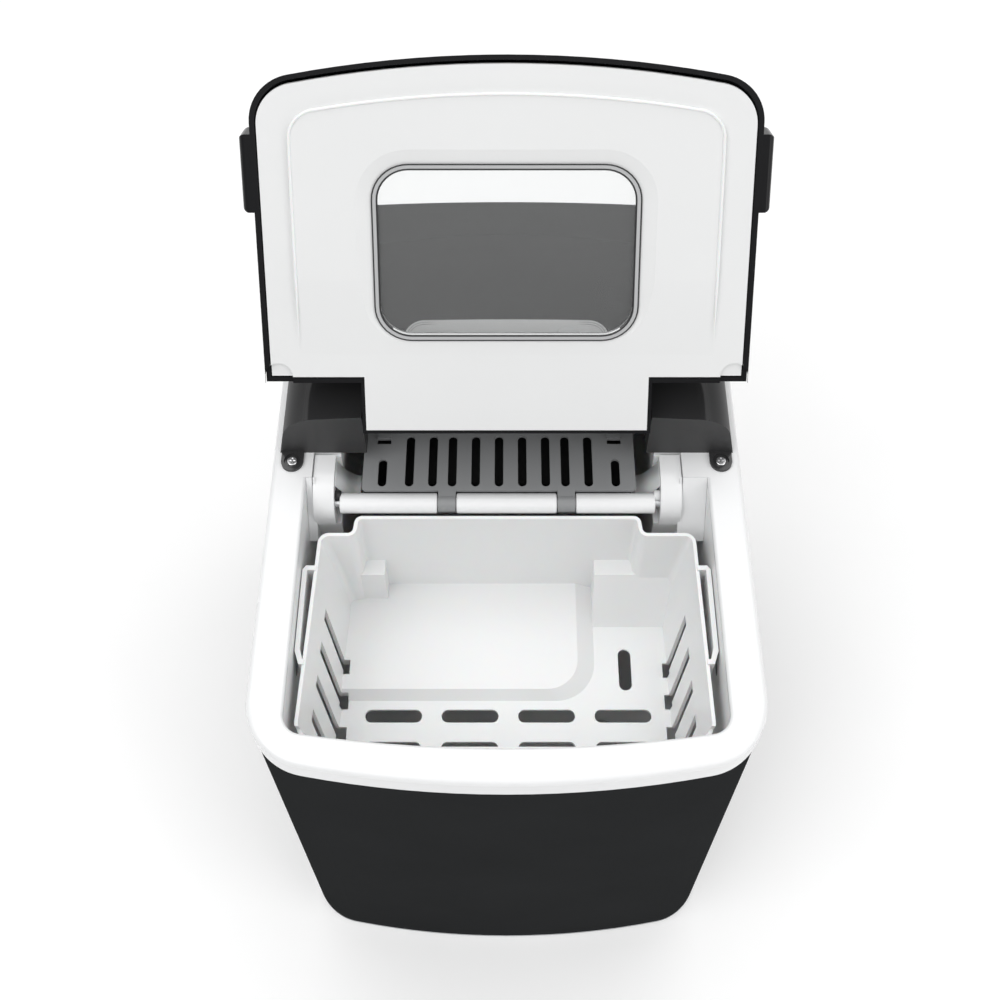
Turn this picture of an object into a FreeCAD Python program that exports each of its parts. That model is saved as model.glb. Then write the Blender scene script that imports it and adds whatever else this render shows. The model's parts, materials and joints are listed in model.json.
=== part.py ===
import FreeCAD, Part
import math
import os

V = FreeCAD.Vector
X_AXIS = V(1, 0, 0)
Y_AXIS = V(0, 1, 0)
Z_AXIS = V(0, 0, 1)
os.makedirs("parts", exist_ok=True)

# A portable countertop ice maker, in millimetres. The front faces -Y, +Z is up, and the origin is at the
# middle of the footprint, on the surface that the feet stand on. The lid is built closed, then swung open.

# --- overall sizes
WIDTH = 224.0
DEPTH = 284.0
RIM_Z = 294.0           # top face of the white collar
FOOT_H = 4.0            # gap between the base pan and the floor
BOW_R = 500.0           # bowed front, in plan
FRONT_CORNER_R = 30.0
REAR_CORNER_R = 22.0

# --- collar, shell and rear housing
BAND_H = 13.3           # height of the collar's side band
COLLAR_T = 4.0          # thickness of the collar's top plate
COLLAR_WALL = 3.0
RIM_W = 16.5            # width of the collar's flat rim
SHELL_T = 1.8
SHELL_SET = 0.6         # how far the shell lies inside the collar's outline
PAN_T = 2.0
PAN_LIP = 12.0
REAR_T = 2.2
REAR_DEPTH = 22.0       # fore and aft depth of the rear housing
SEAM = 0.4              # gap between neighbouring covers

# --- rear cover and lid, which share one crowned section
HORN_SET = 155.2        # front apex to the front face of the cover's horns
COVER_SET = 3.2         # cover and lid stand this far inside the body's width
CROWN_H = 35.0          # crown of cover and lid above the collar
CROWN_R = 1100.0
CROWN_EDGE_R = 18.0
CROWN_LEAN = 0.19       # inward lean of the side walls, mm per mm
COVER_T = 2.2
ARCH_R = 420.0          # arched rear edge of the cover, in plan
LID_SET = 3.3           # the lid's front edge behind the collar's front edge
LID_GAP = 0.4
LID_T = 2.2
LID_CORNER_R = 21.0
NOTCH_GAP = 1.6
TONGUE_W = 131.4
TONGUE_GAP = 1.5
TONGUE_T = 1.3          # the tongue's wall
TONGUE_ROOM = 0.3       # the panel inside the tongue's wall
TONGUE_BACK = 7.2       # the tongue's rear end behind the hinge axis
OPEN_ANGLE = 122.3
AXIS_BACK = 16.7        # hinge axis behind the horns' front face
AXIS_UNDER = 9.0        # hinge axis below the crown's top
HINGE_R = 2.5
PIN_SEAT = 12.0         # depth of the hinge pins' holes in the horns
HINGE_CLEAR = 0.06
BUSH_T = 1.1
BUSH_SEAT = 6.0         # how far each bush stands in from the tongue's side wall
RECESS_BACK = 17.2      # rear edge of the tongue's recess behind the hinge axis, at the crown

# --- lid details
WINDOW_W = 116.0
WINDOW_L = 81.5
WINDOW_R = 16.0
WINDOW_FROM = 21.3      # nearest window edge to the notch
RING_W = 2.0
PANE_T = 2.5
PANEL_T = 2.0
PANEL_SET = 2.9
PAD_T = 1.5
PAD_END = 14.0          # where the pad fades out, in front of the lid's rear edge
PAD_SET = 3.2           # raised pad inside the collar's opening
TAB_FROM = 81.0
TAB_LEN = 35.0
TAB_OUT = 5.0
TAB_H = 12.0

# --- screws, ears and cable gland
SCREW_R = 1.5
SCREW_CLEAR = 0.1
HEAD_CLEAR = 0.6
SCREW_HEAD_R = 3.4
SCREW_HEAD_H = 1.8
EAR_SET = 9.5           # ear screws inside the body's side
EAR_OUT = 5.1           # ear screws in front of the horns
EAR_R = 5.3
EAR_H = 1.6
EAR_POCKET_R = 3.9
EAR_FLOOR = 0.4
EAR_SCREW_R = 2.5
EAR_CLEAR = 0.9         # round the ears, under the closed lid
GLAND_R = 6.5
GLAND_BORE = 3.7
GLAND_SET = 40.0        # gland inside the body's left side
GLAND_Z = 34.0

# --- controls on the rear cover
BUTTON_X = 29.4
BUTTON_R = 5.2
BUTTON_CLEAR = 0.35
LIGHT_XS = (-28.6, -9.3, 10.0)
LIGHT_R = 1.7
LABEL_HALF = 49.0
LABEL_R = 9.2
LABEL_T = 0.5
LABEL_GAP = 1.4         # recess to label
BOARD_T = 1.6
BOARD_DROP = 16.0       # control board under the crown
BOARD_HALF = 52.0
POST_R = 2.2

# --- tub and collar openings
TUB_T = 2.5
OPENING_SET = 15.3      # front apex to the collar's opening
OPENING_R = 9.0
OPENING_BOW = 640.0
TUB_DEPTH = 158.0
WIDE_SET = 142.0        # front apex to the rear end of the collar's wide opening
NARROW_SET = 120.0      # front apex to where the openings beside the cheeks start
BAY_SPLIT = 131.0       # front apex to the tub's step below the bearing cheeks
BAY_END = 216.0         # front apex to the rear wall of the mechanism bay
BAY_DEPTH = 105.0
BAY_HALF = 75.5
SHELF_DROP = 26.0
COLLAR_STRIP = 8.0      # collar left between the bay and the way for the pipes
FOAM_T = 7.0
FOAM_GAP = 0.3
LEDGE_REACH = 24.0      # how far the basket's ledges stand in from the tub's side walls
LEDGE_W = 12.0
LEDGE_T = 7.0
LEDGE_SETS = (26.0, 100.0)
DRAIN_SET = 80.0        # front apex to the drain
DRAIN_UP = 8.0          # drain above the tub's floor
DRAIN_R = 3.9
DRAIN_BORE = 2.6
PUMP_SIDE = 62.0        # pump inside the body's right side
PUMP_SET = 70.0
PUMP_R = 13.0
PUMP_H = 28.0
HOSE_R = 3.8
SPOUT_R = 3.0
SPOUT_BACK = 47.0       # spout behind the tray's pivot
SPOUT_REACH = 15.0      # how far the spout stands into the bay
SPOUT_DROP = 9.5
SENSOR_SET = 60.0
SENSOR_DROP = 30.0
SENSOR_R = 3.0
SENSOR_SUNK = 0.2       # the lens behind the tub's inner wall

# --- basket
BASKET_DROP = 15.0
BASKET_H = 80.0
BASKET_T = 1.6
BASKET_SEAT = 0.3       # gap between the basket and its ledges
BASKET_LEFT = 19.5      # walls inside the body's sides, at the top
BASKET_RIGHT = 21.0
BASKET_TAPER_LEFT = 3.5
BASKET_TAPER_RIGHT = 1.6
BASKET_GAP = 3.0        # in front of the basket, to the tub's wall
BASKET_DIP = 4.0        # how much lower the front wall is
BASKET_SHOULDER = 120.5     # front apex to the basket's rear corners
BASKET_BACK = 129.3     # front apex to the basket's rear wall
BASKET_BAY_LEFT = 68.8
BASKET_BAY_RIGHT = 69.2
BASKET_DRAFT = 8.0
BASKET_CORNER_R = 7.0
PLATEAU_SET = 67.6      # front apex to the raised floor's front edge
PLATEAU_RIGHT = 49.4
PLATEAU_T = 5.0
PLATEAU_R = 20.0
BLOCK_LEFT = 56.6       # corner blocks, from the mechanism's middle
BLOCK_RIGHT = 48.2
BLOCK_SET = 119.6
BLOCK_DROP = 45.0
CHUTE_SET = 106.0       # front apex to the foot of the sloping rear corner
FLOOR_SLOT_L = 28.0
FLOOR_SLOT_W = 6.4
FLOOR_SLOT_PITCH = 37.65
FLOOR_SLOT_X = 5.25     # middle of the rows, from the mechanism's middle
FLOOR_ROWS = (44.8, 60.5)
END_SLOT_X = 63.8       # the slot that runs fore and aft
END_SLOT_FROM = 73.3
END_SLOT_TO = 94.4
SIDE_SLOT_W = 5.6
SIDE_SLOT_LEAN = 0.115  # how far back a side slot leans, mm per mm
SIDE_SLOTS = (35.5, 51.4, 67.4, 83.4)
SIDE_SLOT_DROPS = (23.5, 29.0)      # slots' tops below the rim, left and right
NOTCH_W = 7.3           # where a side slot runs into the floor
NOTCH_IN = 17.2         # notch's inner end, inside the tub's wall
GRIP_FROM = 56.5
GRIP_L = 47.0
GRIP_GAP = 0.5          # outside the finger loops
GRIP_TAPER = 6.0
GRIP_T = 2.2
GRIP_H = 16.0

# --- ice mechanism
MECH_X = -4.4           # the mechanism stands slightly left of the middle
CHEEK_SET = 129.5       # front apex to the cheeks' front
CHEEK_L = 25.5
CHEEK_BEND = 17.0
CHEEK_OUT = 87.8
CHEEK_IN = 77.9
CHEEK_FOOT = 3.0        # how far the cheeks' feet stand back from their fronts
CHEEK_UNDER = 10.5      # bottom of the cheeks' fronts, below the pivot
CHEEK_ROOM = 0.5        # beside the cheeks, in the collar's opening
SHOULDER_SET = 124.0    # front apex to the foot of the slopes beside the cheeks
SHOULDER_RISE = 31.0
SHOULDER_GAP = 0.12     # slopes to the collar
SHOULDER_T = 1.6
LINE_W = 0.5            # the line between each cheek and its slope
LINE_DEPTH = 0.9
MOTOR_R = 8.6
PIVOT_BACK = 135.5      # tray pivot behind the front apex
PIVOT_DROP = 14.0
BAR_R = 4.8
BAR_GAP = 0.08          # the webs' seats round the bar
CORE_R = 2.5
PIN_R = 2.0
PIN_CLEAR = 0.06
PIN_GRIP = 8.0          # length of each pin inside the tray's bar
PIN_STOP = 0.8          # right pin's end, inside its cheek's outer face
BAR_END = 75.4
ARM_XS = (-28.6, 28.6)
ARM_HALF = 4.6
ARM_GAP = 0.4
CLIP_R = 4.4
TRAY_HALF = 64.3
TRAY_T = 1.8
TRAY_FRONT = 5.2        # tray's front wall behind the pivot
TRAY_BACK = 70.0
TRAY_DEPTH = 35.0
TRAY_LIP = 1.2
FINGER_BACK = 56.5      # freezing fingers behind the tray pivot
FINGER_R = 4.7
FINGER_COUNT = 9
FINGER_PITCH = 14.0
FINGER_DROP = 22.0
TUBE_R = 4.0
TUBE_DROP = 6.0         # evaporator tube under the rim
TUBE_OVER = 7.0         # its rear ends over the rim
CARRIER_HALF = 58.0
CARRIER_T = 2.6
SHOVEL_T = 1.6
SHOVEL_W = 131.8
SHOVEL_X = 0.7          # plate's middle to the right of the mechanism's
SHOVEL_DROP = 10.0
SHOVEL_FRONT = 4.7
SHOVEL_BACK = 42.5      # rear edge of the shovel behind the pivot
SHOVEL_SLOT_W = 4.2
SHOVEL_SLOTS = (-43.3, -32.1, -22.6, -11.3, 0.0, 11.3, 22.6, 32.1, 43.3)
CLIP_AT = 56.4          # clip holes beside the plate's middle

# --- cooling parts
COMPRESSOR_R = 42.0
COMPRESSOR_H = 104.0
COMPRESSOR_SIDE = 14.0  # compressor inside the body's left side
MOUNT_H = 9.0
MOUNT_AT = 32.0
STUB_R = 3.4
STUB_H = 6.0
FAN_R = 42.0
FAN_SIDE = 16.0
FAN_UP = 10.0
FAN_MOTOR_R = 11.0
FAN_SHAFT_R = 1.5
FAN_CLEAR = 0.06
CONDENSER_T = 18.0
CONDENSER_GAP = 8.0     # condenser to rear panel
COIL_R = 2.4
PIPE_R = 2.5
CAPILLARY_R = 1.1
DRIER_R = 8.0
DRIER_L = 60.0
VALVE_H = 38.0

# --- places worked out from the sizes above
HALF = WIDTH / 2
FRONT = -DEPTH / 2
REAR = DEPTH / 2
BAND_Z = RIM_Z - BAND_H
PAN_Z = FOOT_H
HORN_Y = FRONT + HORN_SET
AXIS_Y = HORN_Y + AXIS_BACK
AXIS_Z = RIM_Z + CROWN_H - AXIS_UNDER
COVER_END = REAR - REAR_DEPTH
COVER_HALF = HALF - COVER_SET
LID_Z = RIM_Z + LID_GAP
LID_REAR = HORN_Y - NOTCH_GAP
LID_FRONT = FRONT + LID_SET
TUB_Z = RIM_Z - TUB_DEPTH
BAY_Z = RIM_Z - BAY_DEPTH
BAY_Y = FRONT + BAY_END
SPLIT_Y = FRONT + BAY_SPLIT
SHELF_Z = RIM_Z - SHELF_DROP
PIVOT_Y = FRONT + PIVOT_BACK
PIVOT_Z = RIM_Z - PIVOT_DROP
FINGER_Y = PIVOT_Y + FINGER_BACK
TUBE_Z = RIM_Z - TUBE_DROP
BASKET_TOP = RIM_Z - BASKET_DROP
BASKET_Z = BASKET_TOP - BASKET_H
PAN_TOP = PAN_Z + PAN_T
REAR_FACE = REAR - SHELL_SET
REAR_INNER = REAR_FACE - REAR_T
SCREW_SUNK = SCREW_HEAD_H - SHELL_SET
EAR_X = HALF - EAR_SET
EAR_Y = HORN_Y - EAR_OUT
BUSH_R = HINGE_R + BUSH_T
BUTTON_Y = AXIS_Y + RECESS_BACK + LABEL_GAP + LABEL_R
BOARD_Z = RIM_Z + CROWN_H - BOARD_DROP
CROWN_AXIS_Z = RIM_Z + CROWN_H - CROWN_R
SHOULDER_END = HALF - RIM_W - SHOULDER_GAP
DRAIN_Y = FRONT + DRAIN_SET
DRAIN_Z = TUB_Z + DRAIN_UP
PUMP_X = HALF - PUMP_SIDE
PUMP_Y = FRONT + PUMP_SET
PUMP_TOP = TUB_Z - TUB_T - FOAM_T - 1.0
SPOUT_Y = PIVOT_Y + SPOUT_BACK
SPOUT_Z = RIM_Z - SPOUT_DROP
HOSE_Y = SPLIT_Y + TUB_T + HOSE_R + 2.2
SENSOR_Y = FRONT + SENSOR_SET
SENSOR_Z = RIM_Z - SENSOR_DROP
COMPRESSOR_X = -HALF + COMPRESSOR_R + COMPRESSOR_SIDE
COMPRESSOR_Y = COVER_END - COMPRESSOR_R - 6.0
COMPRESSOR_Z = PAN_TOP + MOUNT_H
STUB_TOP = COMPRESSOR_Z + COMPRESSOR_H + STUB_H
SUCTION_X = COMPRESSOR_X + 18.0
DISCHARGE_X = COMPRESSOR_X - 18.0
STUB_Y = COMPRESSOR_Y + 10.0
HOT_GAS_Y = COMPRESSOR_Y - 14.0
FAN_X = HALF - FAN_R - FAN_SIDE
FAN_Z = PAN_TOP + FAN_R + FAN_UP
CONDENSER_Y = REAR_INNER - CONDENSER_GAP - CONDENSER_T
FAN_Y = CONDENSER_Y - 12.0
COIL_X = FAN_X - FAN_R - 1.0
COIL_Y = CONDENSER_Y + CONDENSER_T / 2
DRIER_X = COMPRESSOR_X + COMPRESSOR_R + 18.0
DRIER_Y = FAN_Y - 50.0
DRIER_Z = PAN_TOP + 30.0
EVAP_END_Y = BAY_Y + TUB_T + 14.0
EVAP_RUN_Z = RIM_Z + TUBE_OVER
EVAP_HALF = FINGER_PITCH * (FINGER_COUNT - 1) / 2 + 9.0
PIPE_BACK = EVAP_END_Y + 17.0
VALVE_Z = STUB_TOP + 16.0
BOARD_BACK = REAR_INNER - 8.0
GLAND_X = -HALF + GLAND_SET
POWER_BOARD = (-BOARD_HALF, BOARD_HALF - 8.0, RIM_Z - 110.0, RIM_Z - 22.0)


# --- shape helpers
def box(x0, x1, y0, y1, z0, z1):
    return Part.makeBox(x1 - x0, y1 - y0, z1 - z0, V(x0, y0, z0))


def rod(radius, start, end):
    along = end - start
    return Part.makeCylinder(radius, along.Length, start, along)


def ring(outer, inner, start, end):
    return rod(outer, start, end).cut(rod(inner, start, end))


def join(shapes):
    first = shapes[0]
    whole = first.multiFuse(shapes[1:])
    return whole.removeSplitter()


def upright(edge):
    a = edge.Vertexes[0].Point
    b = edge.Vertexes[-1].Point
    return abs(a.x - b.x) < 1e-6 and abs(a.y - b.y) < 1e-6 and abs(a.z - b.z) > 1e-6


def round_upright(shape, radius, keep=None):
    edges = [e for e in shape.Edges if upright(e) and (keep is None or keep(e.Vertexes[0].Point))]
    return shape.makeFillet(radius, edges)


def soft_box(x0, x1, y0, y1, z0, z1, radius):
    return round_upright(box(x0, x1, y0, y1, z0, z1), radius)


def edges_near(shape, test):
    """Edges whose middle passes the test."""
    found = []
    for edge in shape.Edges:
        middle = edge.valueAt((edge.FirstParameter + edge.LastParameter) / 2)
        if test(middle):
            found.append(edge)
    return found


def body_prism(inset, z0, z1, corner=None):
    """The body's plan outline, shrunk by inset, as an upright prism."""
    block = box(-HALF + inset, HALF - inset, FRONT + inset, REAR - inset, z0, z1)
    bow = Part.makeCylinder(BOW_R - inset, z1 - z0, V(0, FRONT + BOW_R, z0))
    block = block.common(bow)
    front_r = (FRONT_CORNER_R if corner is None else corner) - inset
    block = round_upright(block, front_r, lambda p: p.y < 0)
    return round_upright(block, REAR_CORNER_R - inset, lambda p: p.y > 0)


def outline(points, z):
    """A closed wire with each corner (x, y, radius) rounded by an arc."""
    edges = []
    spans = []
    count = len(points)
    for i in range(count):
        x, y, r = points[i]
        here = V(x, y, z)
        before = V(points[i - 1][0], points[i - 1][1], z)
        after = V(points[(i + 1) % count][0], points[(i + 1) % count][1], z)
        to_before = (before - here).normalize()
        to_after = (after - here).normalize()
        half = to_before.getAngle(to_after) / 2
        reach = r / math.tan(half)
        start = here + to_before * reach
        end = here + to_after * reach
        bisector = (to_before + to_after).normalize()
        middle = here + bisector * (r / math.sin(half) - r)
        spans.append((start, middle, end))
    for i in range(count):
        start, middle, end = spans[i]
        edges.append(Part.Arc(start, middle, end).toShape())
        edges.append(Part.makeLine(end, spans[(i + 1) % count][0]))
    return Part.Wire(edges)


def slab(points, z0, z1):
    face = Part.Face(outline(points, z0))
    return face.extrude(V(0, 0, z1 - z0))


def side_solid(points, x0, x1):
    """A polygon of (y, z) points, stretched from x0 to x1."""
    wire = Part.makePolygon([V(x0, y, z) for y, z in points + points[:1]])
    return Part.Face(wire).extrude(V(x1 - x0, 0, 0))


def plan_solid(points, z0, z1):
    """An upright solid from its plan outline of straight sides."""
    corners = [V(x, y, z0) for x, y in points]
    return Part.Face(Part.makePolygon(corners + corners[:1])).extrude(V(0, 0, z1 - z0))


def stadium(x0, x1, y0, y1, z0, z1):
    """An upright slot cutter whose short ends are half round."""
    radius = min(x1 - x0, y1 - y0) / 2
    return round_upright(box(x0, x1, y0, y1, z0, z1), radius * 0.999)


def pipe(points, radius, bend):
    """A round pipe along straight runs joined by tangent arcs."""
    route = [V(*p) for p in points]
    edges = []
    last = route[0]
    for i in range(1, len(route) - 1):
        here = route[i]
        back = (route[i - 1] - here).normalize()
        on = (route[i + 1] - here).normalize()
        half = back.getAngle(on) / 2
        reach = bend / math.tan(half)
        start = here + back * reach
        end = here + on * reach
        middle = here + (back + on).normalize() * (bend / math.sin(half) - bend)
        edges.append(Part.makeLine(last, start))
        edges.append(Part.Arc(start, middle, end).toShape())
        last = end
    edges.append(Part.makeLine(last, route[-1]))
    spine = Part.Wire(edges)
    circle = Part.Wire(Part.makeCircle(radius, route[0], route[1] - route[0]))
    return spine.makePipeShell([circle], True, False)


def swing_open(shape):
    """Turn a closed lid piece to its rest place, open against its stop."""
    turned = shape.copy()
    turned.rotate(V(0, AXIS_Y, AXIS_Z), X_AXIS, -OPEN_ANGLE)
    return turned


def save(name, *shapes):
    solids = []
    for shape in shapes:
        solids += shape.Solids
    whole = solids[0] if len(solids) == 1 else Part.makeCompound(solids)
    if not whole.isValid():
        print("not valid:", name)
    whole.exportStep("parts/" + name + ".step")
    print(name, len(solids), round(sum(s.Volume for s in solids) / 1000, 2))


# --- the crowned section that cover, lid and rear housing share
def crowned(inset, y0, y1, base=RIM_Z):
    """A bar along Y with the crowned section; inset shrinks it all round but the base."""
    height = CROWN_H - inset
    foot = COVER_HALF - inset
    top_z = RIM_Z + CROWN_H - CROWN_R + math.sqrt(CROWN_R ** 2 - foot ** 2) - inset
    shoulder = foot - CROWN_LEAN * (top_z - base)
    wire = Part.Wire([
        Part.makeLine(V(-foot, y0, base), V(foot, y0, base)),
        Part.makeLine(V(foot, y0, base), V(shoulder, y0, top_z)),
        Part.Arc(V(shoulder, y0, top_z), V(0, y0, RIM_Z + height), V(-shoulder, y0, top_z)).toShape(),
        Part.makeLine(V(-shoulder, y0, top_z), V(-foot, y0, base)),
    ])
    bar = Part.Face(wire).extrude(V(0, y1 - y0, 0))
    edges = edges_near(bar, lambda p: abs(abs(p.x) - shoulder) < 0.5 and abs(p.y - (y0 + y1) / 2) < 1)
    return bar.makeFillet(CROWN_EDGE_R - inset, edges)


# --- housing
def outer_shell():
    z0 = PAN_Z + PAN_T
    z1 = BAND_Z - SEAM
    wall = body_prism(SHELL_SET, z0, z1).cut(body_prism(SHELL_SET + SHELL_T, z0 - 1, z1 + 1))
    wall = wall.cut(box(-HALF, HALF, COVER_END, REAR, z0 - 1, z1 + 1))
    louvres = []
    for i in range(9):
        z = z0 + 24 + i * 9.0
        for side in (-1, 1):
            x = side * HALF
            slot = box(x - 6, x + 6, COVER_END - 72, COVER_END - 16, z, z + 3.2)
            louvres.append(slot)
    drain = rod(4.3, drain_axis(RIM_W - 6), drain_axis(RIM_W + 1))
    return wall.cut(Part.makeCompound(louvres)).cut(drain)


def base_pan():
    inset = SHELL_SET + SHELL_T + 0.3
    plate = body_prism(SHELL_SET, PAN_Z, PAN_Z + PAN_T)
    lip = body_prism(inset, PAN_Z, PAN_Z + PAN_LIP)
    lip = lip.cut(body_prism(inset + 1.6, PAN_Z - 1, PAN_Z + PAN_LIP + 1))
    lip = lip.cut(box(-HALF, HALF, COVER_END - 1, REAR, PAN_Z + PAN_T, PAN_Z + PAN_LIP + 1))
    pan = join([plate, lip])
    for x, y in foot_places():
        pan = pan.cut(rod(4.0, V(x, y, PAN_Z - 1), V(x, y, PAN_Z + PAN_T + 1)))
    vents = []
    for i in range(7):
        x = -36 + i * 12.0
        vents.append(stadium(x, x + 4, FRONT + 60, FRONT + 100, PAN_Z - 1, PAN_Z + PAN_T + 1))
    return pan.cut(Part.makeCompound(vents))


def foot_places():
    dx = HALF - 28
    return [(-dx, FRONT + 34), (dx, FRONT + 34), (-dx, REAR - 24), (dx, REAR - 24)]


def foot(x, y):
    pad = Part.makeCone(7.5, 9.0, FOOT_H, V(x, y, 0))
    neck = rod(4.0, V(x, y, FOOT_H), V(x, y, FOOT_H + PAN_T))
    head = Part.makeCone(5.4, 4.2, 1.6, V(x, y, FOOT_H + PAN_T))
    return join([pad, neck, head])


def bay_box(grow, z0, z1, y0):
    half = BAY_HALF + grow
    return soft_box(MECH_X - half, MECH_X + half, y0, BAY_Y + grow, z0, z1, 5.0)


def front_opening(grow, z0, z1, y_end):
    """The room below the collar's wide opening, grown on every side."""
    half = HALF - RIM_W + grow
    front = FRONT + OPENING_SET - grow
    block = box(-half, half, front, y_end, z0, z1)
    bow = Part.makeCylinder(OPENING_BOW + grow, z1 - z0, V(0, front + OPENING_BOW + grow, z0))
    return round_upright(block.common(bow), OPENING_R + grow, lambda p: p.y < FRONT + 60)


def opening_bow(x):
    return OPENING_BOW - math.sqrt(OPENING_BOW ** 2 - x ** 2)


def collar_opening(z0, z1):
    front = front_opening(0, z0, z1, FRONT + WIDE_SET)
    left = MECH_X - CHEEK_OUT - CHEEK_ROOM
    right = MECH_X + CHEEK_OUT + CHEEK_ROOM
    beside = box(left, right, FRONT + NARROW_SET, HORN_Y + 1, z0, z1)
    return join([front, beside, bay_box(0, z0, z1, FRONT + NARROW_SET)])


def top_collar():
    outer = body_prism(0, BAND_Z, RIM_Z)
    outer = outer.makeFillet(2.6, edges_near(outer, lambda p: p.z > RIM_Z - 0.01))
    hollow = body_prism(COLLAR_WALL, BAND_Z - 1, RIM_Z - COLLAR_T)
    collar = outer.cut(hollow).cut(collar_opening(BAND_Z - 1, RIM_Z + 1))
    collar = collar.cut(box(-HALF, HALF, COVER_END, REAR, BAND_Z - 1, RIM_Z + 1))
    for side in (-1, 1):
        hole = rod(SCREW_R + SCREW_CLEAR, V(side * EAR_X, EAR_Y, RIM_Z - COLLAR_T - 1),
                   V(side * EAR_X, EAR_Y, RIM_Z + 1))
        collar = collar.cut(hole)
    lip = edges_near(collar, lambda p: p.z > RIM_Z - 0.01 and p.y < FRONT + WIDE_SET - 2
                     and abs(p.x) < HALF - RIM_W + 0.5 and p.y > FRONT + OPENING_SET - 0.5)
    collar = collar.makeFillet(1.6, lip)
    pipe_way = box(-HALF + RIM_W, HALF - RIM_W, BAY_Y + COLLAR_STRIP, COVER_END - 4,
                   RIM_Z - COLLAR_T - 1, RIM_Z + 1)
    return collar.cut(pipe_way)


def tub_room(grow, top):
    """The room inside the tub, grown by the wall for its outside."""
    deep = front_opening(grow, TUB_Z - grow, top, SPLIT_Y + grow)
    wide = front_opening(grow, SHELF_Z - grow, top, HORN_Y + grow)
    bay = bay_box(grow, BAY_Z - grow, top, FRONT + 100)
    return join([deep, wide, bay])


def tub():
    top = RIM_Z - COLLAR_T
    body = tub_room(TUB_T, top).cut(tub_room(0, top + 1))
    drain = rod(DRAIN_R + 0.1, drain_axis(-1), drain_axis(TUB_T + 1))
    inlet = rod(3.0, V(PUMP_X, PUMP_Y, TUB_Z - TUB_T - 1), V(PUMP_X, PUMP_Y, TUB_Z + 1))
    spout_hole = rod(SPOUT_R, V(spout_x(-1), SPOUT_Y, SPOUT_Z), V(spout_x(6), SPOUT_Y, SPOUT_Z))
    body = body.cut(drain).cut(inlet).cut(spout_hole)
    eyes = []
    for side in (-1, 1):
        wall = side * (HALF - RIM_W)
        outside = wall + side * (TUB_T + 1)
        eyes.append(rod(SENSOR_R, V(wall - side, SENSOR_Y, SENSOR_Z), V(outside, SENSOR_Y, SENSOR_Z)))
    return join([body.cut(Part.makeCompound(eyes))] + basket_ledges())


def drain_axis(out):
    """A point on the drain's axis, out mm outside the tub's left inner wall."""
    return V(-HALF + RIM_W - out, DRAIN_Y, DRAIN_Z)


def spout_x(out):
    return MECH_X + BAY_HALF + out


def basket_ledges():
    """Four ledges on the tub's side walls that the basket stands on."""
    ledges = []
    wall = HALF - RIM_W
    top = BASKET_Z - BASKET_SEAT
    for set_back in LEDGE_SETS:
        y = FRONT + set_back
        for side in (-1, 1):
            xs = sorted((side * (wall + TUB_T), side * (wall - LEDGE_REACH)))
            ledge = box(xs[0], xs[1], y, y + LEDGE_W, top - LEDGE_T, top)
            ledges.append(ledge.common(front_opening(TUB_T / 2, top - LEDGE_T - 1, top + 1, SPLIT_Y)))
    return ledges


def tub_insulation():
    top = SHELF_Z - TUB_T - 0.5
    near = TUB_T + FOAM_GAP
    far = near + FOAM_T
    outer = front_opening(far, TUB_Z - far, top, SPLIT_Y + TUB_T)
    outer = outer.common(body_prism(SHELL_SET + SHELL_T + FOAM_GAP, TUB_Z - far - 1, top + 1))
    inner = front_opening(near, TUB_Z - near, top + 1, SPLIT_Y + TUB_T + 1)
    ports = [rod(DRAIN_R + 3.1, drain_axis(0), drain_axis(RIM_W)),
             rod(6.0, V(PUMP_X, PUMP_Y, TUB_Z - 2 * FOAM_T), V(PUMP_X, PUMP_Y, TUB_Z))]
    for side in (-1, 1):
        xs = sorted((side * (HALF - RIM_W + TUB_T), side * (HALF - RIM_W + TUB_T + FOAM_T + 2)))
        ports.append(box(xs[0], xs[1], SENSOR_Y - 9, SENSOR_Y + 9, SENSOR_Z - 9, top + 1))
    return outer.cut(inner).cut(Part.makeCompound(ports))


def arch(y_back, z0, z1):
    """A tall cylinder whose rearmost point is at y_back: it arches the cover's rear edge."""
    return Part.makeCylinder(ARCH_R, z1 - z0, V(0, y_back - ARCH_R, z0))


def tongue_recess(grow, y0):
    """The room that the lid's tongue swings in, between the horns."""
    half = TONGUE_W / 2 + TONGUE_GAP + grow
    back = AXIS_Y + RECESS_BACK + grow
    low = AXIS_Y + 13.4 + grow
    slope = math.tan(math.radians(OPEN_ANGLE - 90))
    top = RIM_Z + CROWN_H + 10
    far = back + 10 * slope
    knee = RIM_Z + CROWN_H - (back - low) / slope
    return side_solid([(y0, RIM_Z - 5), (low, RIM_Z - 5), (low, knee), (far, top), (y0, top)], -half, half)


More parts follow.
